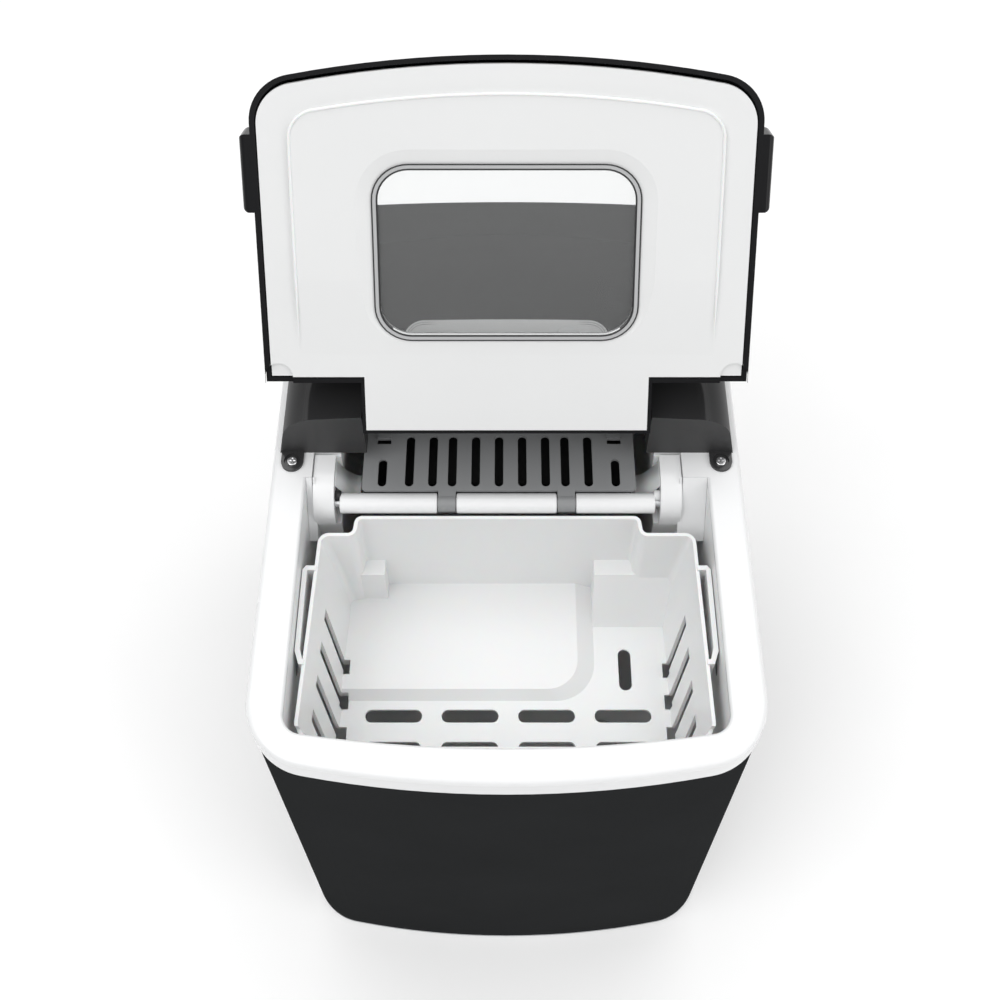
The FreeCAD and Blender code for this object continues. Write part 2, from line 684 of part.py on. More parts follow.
def rear_cover():
    top = RIM_Z + CROWN_H + 12
    outer = crowned(0, HORN_Y, REAR).common(arch(COVER_END, RIM_Z - 1, top))
    outer = outer.cut(tongue_recess(0, HORN_Y - 5))
    inner = crowned(COVER_T, HORN_Y + COVER_T, REAR).common(arch(COVER_END - COVER_T, RIM_Z - 1, top))
    inner = inner.cut(tongue_recess(COVER_T, HORN_Y - 5))
    parts = [outer.cut(inner)]
    for side in (-1, 1):
        x = side * EAR_X
        backing = box(x - EAR_R, x + EAR_R, HORN_Y + 1, HORN_Y + 10, RIM_Z, RIM_Z + 13)
        parts.append(backing.common(outer))
    cover = join(parts)
    for side in (-1, 1):
        cover = cover.cut(Part.makeSphere(8.6, V(side * EAR_X, EAR_Y + 1.0 - EAR_OUT, RIM_Z + 3.4)))
    solids = [cover]
    for side in (-1, 1):
        x = side * EAR_X
        solids.append(rod(EAR_R, V(x, EAR_Y, RIM_Z), V(x, EAR_Y, RIM_Z + EAR_H)))
        solids.append(box(x - EAR_R, x + EAR_R, EAR_Y, HORN_Y + 3, RIM_Z, RIM_Z + EAR_H))
        inner_face = side * (TONGUE_W / 2 + TONGUE_GAP)
        boss = rod(6.0, V(inner_face, AXIS_Y, AXIS_Z), V(inner_face + side * PIN_SEAT, AXIS_Y, AXIS_Z))
        solids.append(boss.common(outer))
    cover = join(solids)
    holes = []
    for side in (-1, 1):
        x = side * EAR_X
        holes.append(rod(SCREW_R + SCREW_CLEAR, V(x, EAR_Y, RIM_Z - 1), V(x, EAR_Y, RIM_Z + EAR_H + 1)))
        holes.append(rod(EAR_POCKET_R, V(x, EAR_Y, RIM_Z + EAR_FLOOR), V(x, EAR_Y, RIM_Z + EAR_H + 1)))
        start = side * (TONGUE_W / 2)
        holes.append(rod(HINGE_R, V(start, AXIS_Y, AXIS_Z), V(start + side * PIN_SEAT, AXIS_Y, AXIS_Z)))
    for hole in holes:
        cover = cover.cut(hole)
    return cut_controls(cover, RIM_Z, top)


def cut_controls(shape, z0, z1):
    """Holes for the button and the lights."""
    shape = shape.cut(rod(BUTTON_R + BUTTON_CLEAR, V(BUTTON_X, BUTTON_Y, z0), V(BUTTON_X, BUTTON_Y, z1)))
    for x in LIGHT_XS:
        shape = shape.cut(rod(LIGHT_R, V(x, BUTTON_Y, z0), V(x, BUTTON_Y, z1)))
    return shape


def crown_z(x):
    return CROWN_AXIS_Z + math.sqrt(CROWN_R ** 2 - x ** 2)


def crown_skin(thick, lift=0.0):
    """A thin layer on top of the crown, as deep as the label needs."""
    y0 = BUTTON_Y - LABEL_R - 1
    y1 = BUTTON_Y + LABEL_R + 1
    outer = Part.makeCylinder(CROWN_R + lift + thick, y1 - y0, V(0, y0, CROWN_AXIS_Z), Y_AXIS)
    inner = Part.makeCylinder(CROWN_R + lift, y1 - y0, V(0, y0, CROWN_AXIS_Z), Y_AXIS)
    return outer.cut(inner)


def control_label():
    z0 = RIM_Z + CROWN_H - 12
    oval = stadium(-LABEL_HALF, LABEL_HALF, BUTTON_Y - LABEL_R, BUTTON_Y + LABEL_R, z0, z0 + 24)
    label = crown_skin(LABEL_T, 0.03).common(oval)
    return cut_controls(label, z0, z0 + 24)


def indicator_light(x):
    return rod(LIGHT_R - 0.05, V(x, BUTTON_Y, BOARD_Z + BOARD_T), V(x, BUTTON_Y, crown_z(x) + LABEL_T))


def power_button():
    z = crown_z(BUTTON_X)
    cap = rod(BUTTON_R, V(BUTTON_X, BUTTON_Y, z - 5), V(BUTTON_X, BUTTON_Y, z + 1.6))
    cap = cap.makeFillet(0.7, edges_near(cap, lambda p: p.z > z + 1.5))
    flange = rod(BUTTON_R + 1.4, V(BUTTON_X, BUTTON_Y, z - 5.6), V(BUTTON_X, BUTTON_Y, z - 4.2))
    stem = rod(1.6, V(BUTTON_X, BUTTON_Y, BOARD_Z + BOARD_T + 4.8), V(BUTTON_X, BUTTON_Y, z - 5))
    return join([cap, flange, stem])


def control_board():
    y0 = BUTTON_Y - 7
    y1 = BUTTON_Y + 13
    plate = box(-BOARD_HALF, BOARD_HALF, y0, y1, BOARD_Z, BOARD_Z + BOARD_T)
    face = BOARD_Z + BOARD_T
    switch = box(BUTTON_X - 3, BUTTON_X + 3, BUTTON_Y - 3, BUTTON_Y + 3, face, face + 3.2)
    chip = box(-14, -4, y1 - 8, y1 - 3, BOARD_Z + BOARD_T, BOARD_Z + BOARD_T + 1.5)
    return join([plate, switch, chip])


def board_posts():
    posts = []
    reach = BOARD_HALF - 4
    for x in (-reach, reach):
        for y in (BUTTON_Y - 4, BUTTON_Y + 10):
            top = crown_z(reach + POST_R) - COVER_T - 0.15
            posts.append(rod(POST_R, V(x, y, BOARD_Z + BOARD_T), V(x, y, top)))
    return posts


def rear_panel():
    top = RIM_Z + CROWN_H + 12
    low = body_prism(SHELL_SET, PAN_Z + PAN_T, RIM_Z).cut(
        body_prism(SHELL_SET + REAR_T, PAN_Z, RIM_Z - REAR_T))
    low = low.common(box(-HALF, HALF, COVER_END + SEAM, REAR, 0, top))
    low = low.cut(box(-HALF + RIM_W, HALF - RIM_W, COVER_END, REAR - 8, RIM_Z - REAR_T - 1, RIM_Z + 1))
    high = crowned(SHELL_SET, HORN_Y, REAR + 5).cut(arch(COVER_END + SEAM, RIM_Z - 1, top))
    plan = body_prism(SHELL_SET, RIM_Z - 1, top)
    high = high.common(plan)
    hollow = crowned(SHELL_SET + REAR_T, HORN_Y, REAR + 5)
    hollow = hollow.cut(arch(COVER_END + SEAM + REAR_T, RIM_Z - 1, top))
    hollow = hollow.common(body_prism(SHELL_SET + REAR_T, RIM_Z - 1, top))
    panel = join([low, high.cut(hollow)])
    slots = []
    for i in range(13):
        z = FAN_Z - 36 + i * 6.0
        reach = math.sqrt(max(FAN_R ** 2 - (z + 1.6 - FAN_Z) ** 2, 0))
        slots.append(box(FAN_X - reach, FAN_X + reach, REAR - 8, REAR + 5, z, z + 3.2))
    gland_hole = rod(GLAND_R, V(GLAND_X, REAR - 8, GLAND_Z), V(GLAND_X, REAR + 5, GLAND_Z))
    pockets = []
    for x, z in rear_screw_places():
        pockets.append(rod(SCREW_HEAD_R + HEAD_CLEAR, V(x, REAR_FACE - SCREW_SUNK, z), V(x, REAR + 5, z)))
        pockets.append(rod(SCREW_R + SCREW_CLEAR, V(x, REAR_INNER - 1, z), V(x, REAR + 5, z)))
    return panel.cut(Part.makeCompound(slots)).cut(gland_hole).cut(Part.makeCompound(pockets))


def rear_screw_places():
    return [(x, z) for x in (-HALF + 34, HALF - 34) for z in (RIM_Z + 14, PAN_Z + 6)]


def cord_gland():
    neck = rod(GLAND_R - 0.05, V(GLAND_X, REAR_INNER, GLAND_Z), V(GLAND_X, REAR_FACE, GLAND_Z))
    flange = rod(GLAND_R + 2.5, V(GLAND_X, REAR_INNER - 3, GLAND_Z), V(GLAND_X, REAR_INNER, GLAND_Z))
    tail = rod(GLAND_R - 1.5, V(GLAND_X, REAR_INNER - 12, GLAND_Z), V(GLAND_X, REAR_INNER, GLAND_Z))
    bore = rod(GLAND_BORE, V(GLAND_X, REAR_INNER - 30, GLAND_Z), V(GLAND_X, REAR_FACE + 5, GLAND_Z))
    return join([neck, flange, tail]).cut(bore)


def cross_screw(x, y, z, head_r, head_h, shank_r, shank):
    head = Part.makeCylinder(head_r, head_h, V(x, y, z))
    head = head.makeFillet(head_h * 0.45, edges_near(head, lambda p: p.z > z + head_h - 0.01))
    body = join([head, Part.makeCylinder(shank_r, shank, V(x, y, z - shank))])
    arm = head_r * 0.62
    width = head_r * 0.16
    cross = [box(x - arm, x + arm, y - width, y + width, z + head_h * 0.4, z + head_h + 1),
             box(x - width, x + width, y - arm, y + arm, z + head_h * 0.4, z + head_h + 1)]
    return body.cut(Part.makeCompound(cross))


def rear_screws():
    screws = []
    for x, z in rear_screw_places():
        screw = cross_screw(0, 0, 0, SCREW_HEAD_R, SCREW_HEAD_H, SCREW_R, REAR_T + 4)
        screw.rotate(V(0, 0, 0), X_AXIS, -90)
        screw.translate(V(x, REAR_FACE - SCREW_SUNK, z))
        screws.append(screw)
    return screws


# --- tub furniture
def basket_points(inset, shrink):
    """The basket's plan outline; shrink narrows the bottom for draft."""
    left = -HALF + BASKET_LEFT + inset + shrink
    right = HALF - BASKET_RIGHT - inset - shrink
    rear_left = left + BASKET_TAPER_LEFT
    rear_right = right - BASKET_TAPER_RIGHT
    front = FRONT + OPENING_SET + BASKET_GAP + inset + shrink / 2
    corner_y = FRONT + BASKET_SHOULDER - inset
    bay_y = FRONT + BASKET_BACK - inset
    bay_left = MECH_X - BASKET_BAY_LEFT + inset
    bay_right = MECH_X + BASKET_BAY_RIGHT - inset
    rear_r = max(5.0 - inset, 1.0)
    bay_r = max(3.5 - inset, 1.0)
    front_r = max(BASKET_CORNER_R - inset, 2.0)
    bow_r = OPENING_BOW / 2
    return [
        (left, front + opening_bow(left), front_r),
        (left / 2, front + opening_bow(left / 2), bow_r),
        (right / 2, front + opening_bow(right / 2), bow_r),
        (right, front + opening_bow(right), front_r),
        (rear_right, corner_y, rear_r),
        (bay_right, corner_y, 2.5 + inset),
        (bay_right - 1.0, bay_y, bay_r),
        (bay_left + 1.0, bay_y, bay_r),
        (bay_left, corner_y, 2.5 + inset),
        (rear_left, corner_y, rear_r),
    ]


def drafted(inset, z0, z1):
    low = outline(basket_points(inset, BASKET_DRAFT), z0)
    high = outline(basket_points(inset, 0), z1)
    return Part.makeLoft([low, high], True, True)


def ice_basket():
    outer = drafted(0, BASKET_Z, BASKET_TOP)
    inner = drafted(BASKET_T, BASKET_Z + BASKET_T, BASKET_TOP + 0.01)
    room = drafted(BASKET_T / 2, BASKET_Z + BASKET_T / 2, BASKET_TOP)
    basket = join([outer.cut(inner)] + [s.common(room) for s in basket_steps()])
    dip = box(-HALF, HALF, FRONT, FRONT + OPENING_SET + 14, BASKET_TOP - BASKET_DIP, RIM_Z)
    basket = basket.cut(Part.makeCompound(floor_slots())).cut(Part.makeCompound(side_slots())).cut(dip)
    return join([basket] + basket_grips())


def basket_steps():
    """The raised floor, the blocks in the rear corners and the slope below the right one."""
    low = BASKET_Z + BASKET_T - 0.5
    floor = BASKET_Z + BASKET_T
    back = FRONT + BASKET_BACK + 10
    wires = []
    for inset, z in ((0.0, low), (4.7, floor + PLATEAU_T)):
        right = MECH_X + PLATEAU_RIGHT - 2 * inset
        corner = (right, FRONT + PLATEAU_SET + inset, PLATEAU_R - inset)
        wires.append(outline([(-HALF, FRONT + PLATEAU_SET + inset, 2.0), corner, (right, back, 2.0),
                              (-HALF, back, 2.0)], z))
    plateau = Part.makeLoft(wires, True, True)
    top = BASKET_TOP - BLOCK_DROP
    block_l = box(-HALF, MECH_X - BLOCK_LEFT, FRONT + BLOCK_SET, back, low, top)
    x0 = MECH_X + BLOCK_RIGHT
    slope = [(FRONT + CHUTE_SET, low), (back, low), (back, top), (FRONT + BLOCK_SET, top)]
    block_r = side_solid(slope, x0, HALF)
    return [plateau, block_l, block_r]


def floor_slots():
    low = BASKET_Z - 1
    top = BASKET_Z + BASKET_T + 0.3
    half_w = FLOOR_SLOT_W / 2
    half_l = FLOOR_SLOT_L / 2
    cuts = []
    for row in FLOOR_ROWS:
        y = FRONT + row
        for i in range(4):
            x = MECH_X + FLOOR_SLOT_X + (i - 1.5) * FLOOR_SLOT_PITCH
            cuts.append(stadium(x - half_l, x + half_l, y - half_w, y + half_w, low, top))
    x = MECH_X + END_SLOT_X
    cuts.append(stadium(x - half_w, x + half_w, FRONT + END_SLOT_FROM, FRONT + END_SLOT_TO, low, top))
    return cuts


def side_slots():
    """Leaning slots in the side walls, each with a wider notch where it runs into the floor."""
    cuts = []
    half = SIDE_SLOT_W / 2
    low = BASKET_Z - 1
    notch_top = BASKET_Z + BASKET_T + PLATEAU_T + 0.3
    outer = HALF - RIM_W
    for set_back in SIDE_SLOTS:
        y = FRONT + set_back
        for side, drop in zip((-1, 1), SIDE_SLOT_DROPS):
            xs = sorted((side * outer, side * (outer - NOTCH_IN)))
            high = BASKET_TOP - drop
            lean = SIDE_SLOT_LEAN * (high - low)
            cuts.append(side_solid([(y - half, low), (y + half, low), (y + half + lean, high),
                                    (y - half + lean, high)], xs[0], xs[1]))
            cuts.append(box(xs[0], xs[1], y - NOTCH_W / 2, y + NOTCH_W / 2, low, notch_top))
    return cuts


def basket_grips():
    """A finger loop stands off each side wall."""
    grips = []
    y0 = FRONT + GRIP_FROM
    y1 = y0 + GRIP_L
    z0 = BASKET_TOP - GRIP_H
    sides = ((-1, HALF - BASKET_LEFT, BASKET_TAPER_LEFT), (1, HALF - BASKET_RIGHT, BASKET_TAPER_RIGHT))
    for side, wall, taper in sides:
        face = HALF - RIM_W - GRIP_GAP
        root = wall - taper - 1.5
        outer = [(root, y0), (face - GRIP_T, y0), (face, y0 + GRIP_TAPER), (face, y1 - 2.0), (face - 1.5, y1),
                 (root, y1)]
        inside = face - GRIP_T
        inner = [(root - 1, y0 + GRIP_T), (inside - 1.5, y0 + GRIP_T), (inside, y0 + GRIP_TAPER + 1.5),
                 (inside, y1 - GRIP_T), (root - 1, y1 - GRIP_T)]
        loop = plan_solid([(side * x, y) for x, y in outer], z0, BASKET_TOP + 1.0)
        loop = loop.cut(plan_solid([(side * x, y) for x, y in inner], z0 - 1, BASKET_TOP + 2.0))
        grips.append(loop.cut(drafted(BASKET_T / 2, BASKET_Z, BASKET_TOP + 2.0)))
    return grips


def cheek_profile(x0, x1):
    """Side view: flat on top, rounded down at the front, on a narrower foot on the tub's shelf."""
    top = RIM_Z - 2.0
    front = FRONT + CHEEK_SET
    back = front + CHEEK_L
    foot = front + CHEEK_FOOT
    bend = CHEEK_BEND
    under = PIVOT_Z - CHEEK_UNDER
    across = math.sin(math.pi / 4)
    face = Part.Face(Part.Wire([
        Part.makeLine(V(x0, foot, SHELF_Z), V(x0, back, SHELF_Z)),
        Part.makeLine(V(x0, back, SHELF_Z), V(x0, back, top)),
        Part.makeLine(V(x0, back, top), V(x0, front + bend, top)),
        Part.Arc(V(x0, front + bend, top), V(x0, front + bend * (1 - across), top - bend * (1 - across)),
                 V(x0, front, top - bend)).toShape(),
        Part.makeLine(V(x0, front, top - bend), V(x0, front, under)),
        Part.makeLine(V(x0, front, under), V(x0, foot, SHELF_Z)),
    ]))
    return face.extrude(V(x1 - x0, 0, 0))


def cheek_left():
    cheek = cheek_profile(MECH_X - CHEEK_OUT, MECH_X - CHEEK_IN)
    shoulder = shoulder_solid(0, -SHOULDER_END, MECH_X - CHEEK_OUT + 1)
    bore = rod(PIN_R + PIN_CLEAR, V(MECH_X - CHEEK_OUT + 2.0, PIVOT_Y, PIVOT_Z), V(MECH_X, PIVOT_Y, PIVOT_Z))
    return join([cheek, shoulder]).cut(bore).cut(cheek_line(MECH_X - CHEEK_OUT - LINE_W))


def cheek_right():
    cheek = cheek_profile(MECH_X + CHEEK_IN, MECH_X + CHEEK_OUT)
    shoulder = shoulder_solid(0, MECH_X + CHEEK_OUT - 1, SHOULDER_END)
    web_x = MECH_X + CHEEK_OUT - SHOULDER_T
    room = shoulder_solid(SHOULDER_T, web_x, SHOULDER_END - SHOULDER_T)
    back = FRONT + CHEEK_SET + CHEEK_L - SHOULDER_T
    pocket = box(MECH_X + CHEEK_IN + SHOULDER_T, web_x + 1, PIVOT_Y + 4, back,
                 SHELF_Z - 1, RIM_Z - COLLAR_T - SHOULDER_T)
    bore = rod(PIN_R + PIN_CLEAR, V(MECH_X, PIVOT_Y, PIVOT_Z), V(web_x + 1, PIVOT_Y, PIVOT_Z))
    whole = join([cheek, shoulder]).cut(room).cut(pocket).cut(bore)
    return whole.cut(cheek_line(MECH_X + CHEEK_OUT))


def cheek_line(x):
    """A narrow groove down the slope, from x on."""
    skin = shoulder_solid(0, x, x + LINE_W).cut(shoulder_solid(LINE_DEPTH, x - 1, x + LINE_W + 1))
    return skin.common(box(-HALF, HALF, SPLIT_Y + LINE_DEPTH, FRONT + WIDE_SET, SHELF_Z + LINE_DEPTH, RIM_Z))


def shoulder_solid(inset, x0, x1):
    """The slope beside a cheek, from the collar's edge down to the basket; inset gives the room inside it."""
    edge = FRONT + WIDE_SET - SHOULDER_GAP
    steep = SHOULDER_RISE / (edge - FRONT - SHOULDER_SET)
    shift = inset * math.sqrt(1 + 1 / steep ** 2)
    top = RIM_Z - COLLAR_T - 0.2 - inset
    low = SHELF_Z - inset
    foot = SPLIT_Y + inset
    toe = RIM_Z - SHOULDER_RISE + inset
    back = FRONT + CHEEK_SET + CHEEK_L - inset
    lip = [(edge, top), (edge, RIM_Z)] if inset == 0 else [(edge + shift - (RIM_Z - top) / steep, top)]
    toe_y = edge + shift - (RIM_Z - toe) / steep
    points = [(foot, low), (back, low), (back, top)] + lip + [(toe_y, toe), (foot, toe - 8.0)]
    return side_solid(points, x0, x1)


def tray_motor():
    x0 = MECH_X + CHEEK_OUT + 0.6
    x1 = SHOULDER_END - SHOULDER_T - 0.6
    y = PIVOT_Y + 8.6
    z = PIVOT_Z - 3.2
    can = rod(MOTOR_R, V(x0, y, z), V(x1, y, z))
    nose = rod(3.4, V(x0 - 2.1, PIVOT_Y + 1.4, PIVOT_Z), V(x0 + 4, PIVOT_Y + 1.4, PIVOT_Z))
    bore = rod(PIN_R + PIN_CLEAR, V(x0 - 4, PIVOT_Y, PIVOT_Z), V(x0 + 3, PIVOT_Y, PIVOT_Z))
    room = shoulder_solid(SHOULDER_T + 0.3, x0 - 5, x1)
    return join([can, nose]).common(room).cut(bore)


# --- tray and shovel, which turn on one bar
def bar_edges():
    """Where the bar's three thick parts start and end, either side of the shovel's arms."""
    return [MECH_X - BAR_END, ARM_XS[0] - ARM_HALF, ARM_XS[0] + ARM_HALF,
            ARM_XS[1] - ARM_HALF, ARM_XS[1] + ARM_HALF, MECH_X + BAR_END]


def plain_bar():
    y, z = PIVOT_Y, PIVOT_Z
    edges = bar_edges()
    core = rod(CORE_R, V(edges[0], y, z), V(edges[5], y, z))
    bars = []
    for i in (0, 2, 4):
        bar = rod(BAR_R, V(edges[i], y, z), V(edges[i + 1], y, z))
        ends = edges_near(bar, lambda p: abs(p.x - edges[i]) < 0.01 or abs(p.x - edges[i + 1]) < 0.01)
        bars.append(bar.makeFillet(0.8, ends))
    return join([core] + bars)


def clip_room():
    y, z = PIVOT_Y, PIVOT_Z
    rings = [ring(CLIP_R + ARM_GAP, CORE_R, V(x - ARM_HALF, y, z), V(x + ARM_HALF, y, z)) for x in ARM_XS]
    return Part.makeCompound(rings)


def tray_bar():
    y, z = PIVOT_Y, PIVOT_Z
    bar = plain_bar().cut(clip_room())
    for side in (-1, 1):
        bar = bar.cut(rod(PIN_R, V(MECH_X + side * (BAR_END - PIN_GRIP), y, z),
                          V(MECH_X + side * (BAR_END + 1), y, z)))
    return bar


def water_tray():
    y, z = PIVOT_Y, PIVOT_Z
    edges = bar_edges()
    trough = side_solid([(y + 4.0, z - 7.0), (y + 6.0, z - 13.5), (y + 27, z - TRAY_DEPTH),
                         (y + TRAY_BACK, z - TRAY_DEPTH), (y + TRAY_BACK, z + TRAY_LIP),
                         (y + TRAY_FRONT, z + TRAY_LIP), (y + TRAY_FRONT, z - 7.0)],
                        MECH_X - TRAY_HALF, MECH_X + TRAY_HALF)
    front = y + TRAY_FRONT + TRAY_T
    back = y + TRAY_BACK - TRAY_T
    floor = z - TRAY_DEPTH + 2.0
    room = side_solid([(front, z - 11.0), (y + 28, floor), (back, floor), (back, z + 5), (front, z + 5)],
                      MECH_X - TRAY_HALF + TRAY_T, MECH_X + TRAY_HALF - TRAY_T)
    webs = []
    for i in (0, 2, 4):
        webs.append(box(max(edges[i] + 1, MECH_X - TRAY_HALF), min(edges[i + 1] - 1, MECH_X + TRAY_HALF),
                        y + 1.0, front, z - 8.0, z - 3.4))
    seat = rod(BAR_R + BAR_GAP, V(edges[0], y, z), V(edges[5], y, z))
    return join([trough.cut(room)] + webs).cut(seat).cut(clip_room())


def tray_pin(side):
    inner = MECH_X + side * (BAR_END - PIN_GRIP)
    outer = MECH_X + CHEEK_OUT - PIN_STOP if side > 0 else MECH_X - CHEEK_OUT + 2.5
    return rod(PIN_R, V(inner, PIVOT_Y, PIVOT_Z), V(outer, PIVOT_Y, PIVOT_Z))


def ice_shovel():
    top = RIM_Z - SHOVEL_DROP
    low = top - SHOVEL_T - 1
    y0 = PIVOT_Y + SHOVEL_FRONT
    y1 = PIVOT_Y + SHOVEL_BACK
    middle = MECH_X + SHOVEL_X
    half = SHOVEL_SLOT_W / 2
    plate = soft_box(middle - SHOVEL_W / 2, middle + SHOVEL_W / 2, y0, y1, top - SHOVEL_T, top, 2.0)
    slots = []
    for offset in SHOVEL_SLOTS:
        x = middle + offset
        slots.append(stadium(x - half, x + half, y0 + 2.2, y0 + 30.0, low, top + 1))
    solids = []
    for side in (-1, 1):
        x = middle + side * CLIP_AT
        slots.append(stadium(x - half, x + half, y0 + 2.2, y0 + 17.0, low, top + 1))
        slots.append(box(x - 3.4, x + 3.4, y1 - 12.4, y1 - 9.6, low, top + 1))
        solids.append(box(x - 3.4, x + 3.4, y1 - 9.6, y1 - 4.0, top, top + 1.2))
    solids.append(plate.cut(Part.makeCompound(slots)))
    for x in ARM_XS:
        solids.append(shovel_arm(x, y0, top))
    return join(solids)


def shovel_arm(x, plate_y, top):
    """A clip round the tray's core, with a web up to the plate."""
    start = V(x - ARM_HALF + ARM_GAP, PIVOT_Y, PIVOT_Z)
    end = V(x + ARM_HALF - ARM_GAP, PIVOT_Y, PIVOT_Z)
    web = box(start.x, end.x, PIVOT_Y + 0.5, plate_y + 1.0, PIVOT_Z + 2.6, top)
    return join([rod(CLIP_R, start, end), web]).cut(rod(CORE_R + PIN_CLEAR, start - X_AXIS, end + X_AXIS))


def evaporator():
    left = MECH_X - EVAP_HALF
    right = MECH_X + EVAP_HALF
    back_y = EVAP_END_Y
    run_z = EVAP_RUN_Z
    tube = pipe([(left, back_y, run_z), (left, FINGER_Y, run_z), (left, FINGER_Y, TUBE_Z),
                 (right, FINGER_Y, TUBE_Z), (right, FINGER_Y, run_z), (right, back_y, run_z)], TUBE_R, 6.0)
    fingers = []
    for i in range(FINGER_COUNT):
        x = MECH_X + (i - (FINGER_COUNT - 1) / 2) * FINGER_PITCH
        stem = rod(FINGER_R, V(x, FINGER_Y, TUBE_Z), V(x, FINGER_Y, PIVOT_Z - FINGER_DROP))
        tip = Part.makeSphere(FINGER_R, V(x, FINGER_Y, PIVOT_Z - FINGER_DROP))
        fingers.append(join([stem, tip]))
    return join([tube] + fingers)


def evaporator_carrier():
    """A bridge that holds the evaporator's tube, seated on the collar behind the bay."""
    x0 = MECH_X - CARRIER_HALF
    x1 = MECH_X + CARRIER_HALF
    y0 = FINGER_Y - 4.0
    saddle = box(x0, x1, y0, FINGER_Y + 7, TUBE_Z, TUBE_Z + TUBE_R + 3.0)
    tube_room = rod(TUBE_R + 0.1, V(x0 - 1, FINGER_Y, TUBE_Z), V(x1 + 1, FINGER_Y, TUBE_Z))
    finger_room = []
    for i in range(FINGER_COUNT):
        x = MECH_X + (i - (FINGER_COUNT - 1) / 2) * FINGER_PITCH
        finger_room.append(rod(FINGER_R + 0.3, V(x, FINGER_Y, TUBE_Z - 5), V(x, FINGER_Y, TUBE_Z + 3.6)))
    bridge = box(x0 + 8, x1 - 8, FINGER_Y + 6, BAY_Y + COLLAR_STRIP - 2, RIM_Z, RIM_Z + CARRIER_T)
    bridge = join([saddle, bridge])
    return bridge.cut(tube_room).cut(Part.makeCompound(finger_room))


def spout():
    x = spout_x(0)
    nozzle = ring(SPOUT_R - 0.05, 1.8, V(x - SPOUT_REACH, SPOUT_Y, SPOUT_Z),
                  V(x + TUB_T + 9, SPOUT_Y, SPOUT_Z))
    flange = ring(5.0, 1.8, V(x + TUB_T, SPOUT_Y, SPOUT_Z), V(x + TUB_T + 1.6, SPOUT_Y, SPOUT_Z))
    return join([nozzle, flange])


def ice_sensor(side):
    x = side * (HALF - RIM_W)
    lens = rod(SENSOR_R - 0.1, V(x + side * SENSOR_SUNK, SENSOR_Y, SENSOR_Z),
               V(x + side * (TUB_T + 3), SENSOR_Y, SENSOR_Z))
    xs = sorted((x + side * TUB_T, x + side * (TUB_T + 7)))
    body = box(xs[0], xs[1], SENSOR_Y - 6, SENSOR_Y + 6, SENSOR_Z - 6, SENSOR_Z + 6)
    return join([lens, body])


def drain_fitting():
    pipe_out = ring(DRAIN_R, DRAIN_BORE, drain_axis(0), drain_axis(RIM_W - SHELL_SET - 0.4))
    flange = ring(6.5, DRAIN_BORE, drain_axis(TUB_T), drain_axis(TUB_T + 2.0))
    return join([pipe_out, flange])


def drain_plug():
    face = RIM_W - SHELL_SET - 0.4
    head = rod(7.0, drain_axis(face + 0.7), drain_axis(face + 2.1))
    head = head.makeFillet(0.6, edges_near(head, lambda p: p.x < drain_axis(face + 2.0).x))
    stem = rod(DRAIN_BORE - PIN_CLEAR, drain_axis(face - 8), drain_axis(face + 1.0))
    return join([head, stem])


# --- water and cooling parts
def water_pump():
    z0 = PUMP_TOP - PUMP_H
    can = rod(PUMP_R, V(PUMP_X, PUMP_Y, z0), V(PUMP_X, PUMP_Y, PUMP_TOP))
    can = can.makeFillet(2.0, edges_near(can, lambda p: abs(p.z - PUMP_TOP) < 0.01 or abs(p.z - z0) < 0.01))
    neck = rod(2.9, V(PUMP_X, PUMP_Y, PUMP_TOP - 1), V(PUMP_X, PUMP_Y, TUB_Z + 0.6))
    outlet = rod(3.0, V(PUMP_X, PUMP_Y, PUMP_TOP - 20), V(PUMP_X + PUMP_R + 9, PUMP_Y, PUMP_TOP - 20))
    return join([can, neck, outlet])


def pump_hose():
    x = HALF - 8.0
    z = PUMP_TOP - 20.0
    turn_z = SHELF_Z - 22.0
    return pipe([(PUMP_X + PUMP_R + 9, PUMP_Y, z), (x, PUMP_Y, z), (x, HOSE_Y, z), (x, HOSE_Y, turn_z),
                 (x, SPOUT_Y, turn_z), (x, SPOUT_Y, SPOUT_Z), (spout_x(TUB_T + 9), SPOUT_Y, SPOUT_Z)],
                HOSE_R, 8.0)


def pump_strainer():
    x, y, z = PUMP_X, PUMP_Y, TUB_Z + 0.6
    cap = ring(9.0, 2.95, V(x, y, TUB_Z), V(x, y, z + 3.0))
    lid = rod(9.0, V(x, y, z + 3.0), V(x, y, z + 4.4))
    strainer = join([cap, lid])
    slots = []
    for i in range(6):
        slot = box(x + 4.0, x + 10, y - 0.9, y + 0.9, TUB_Z + 0.8, z + 2.6)
        slot.rotate(V(x, y, z), Z_AXIS, i * 60)
        slots.append(slot)
    return strainer.cut(Part.makeCompound(slots))


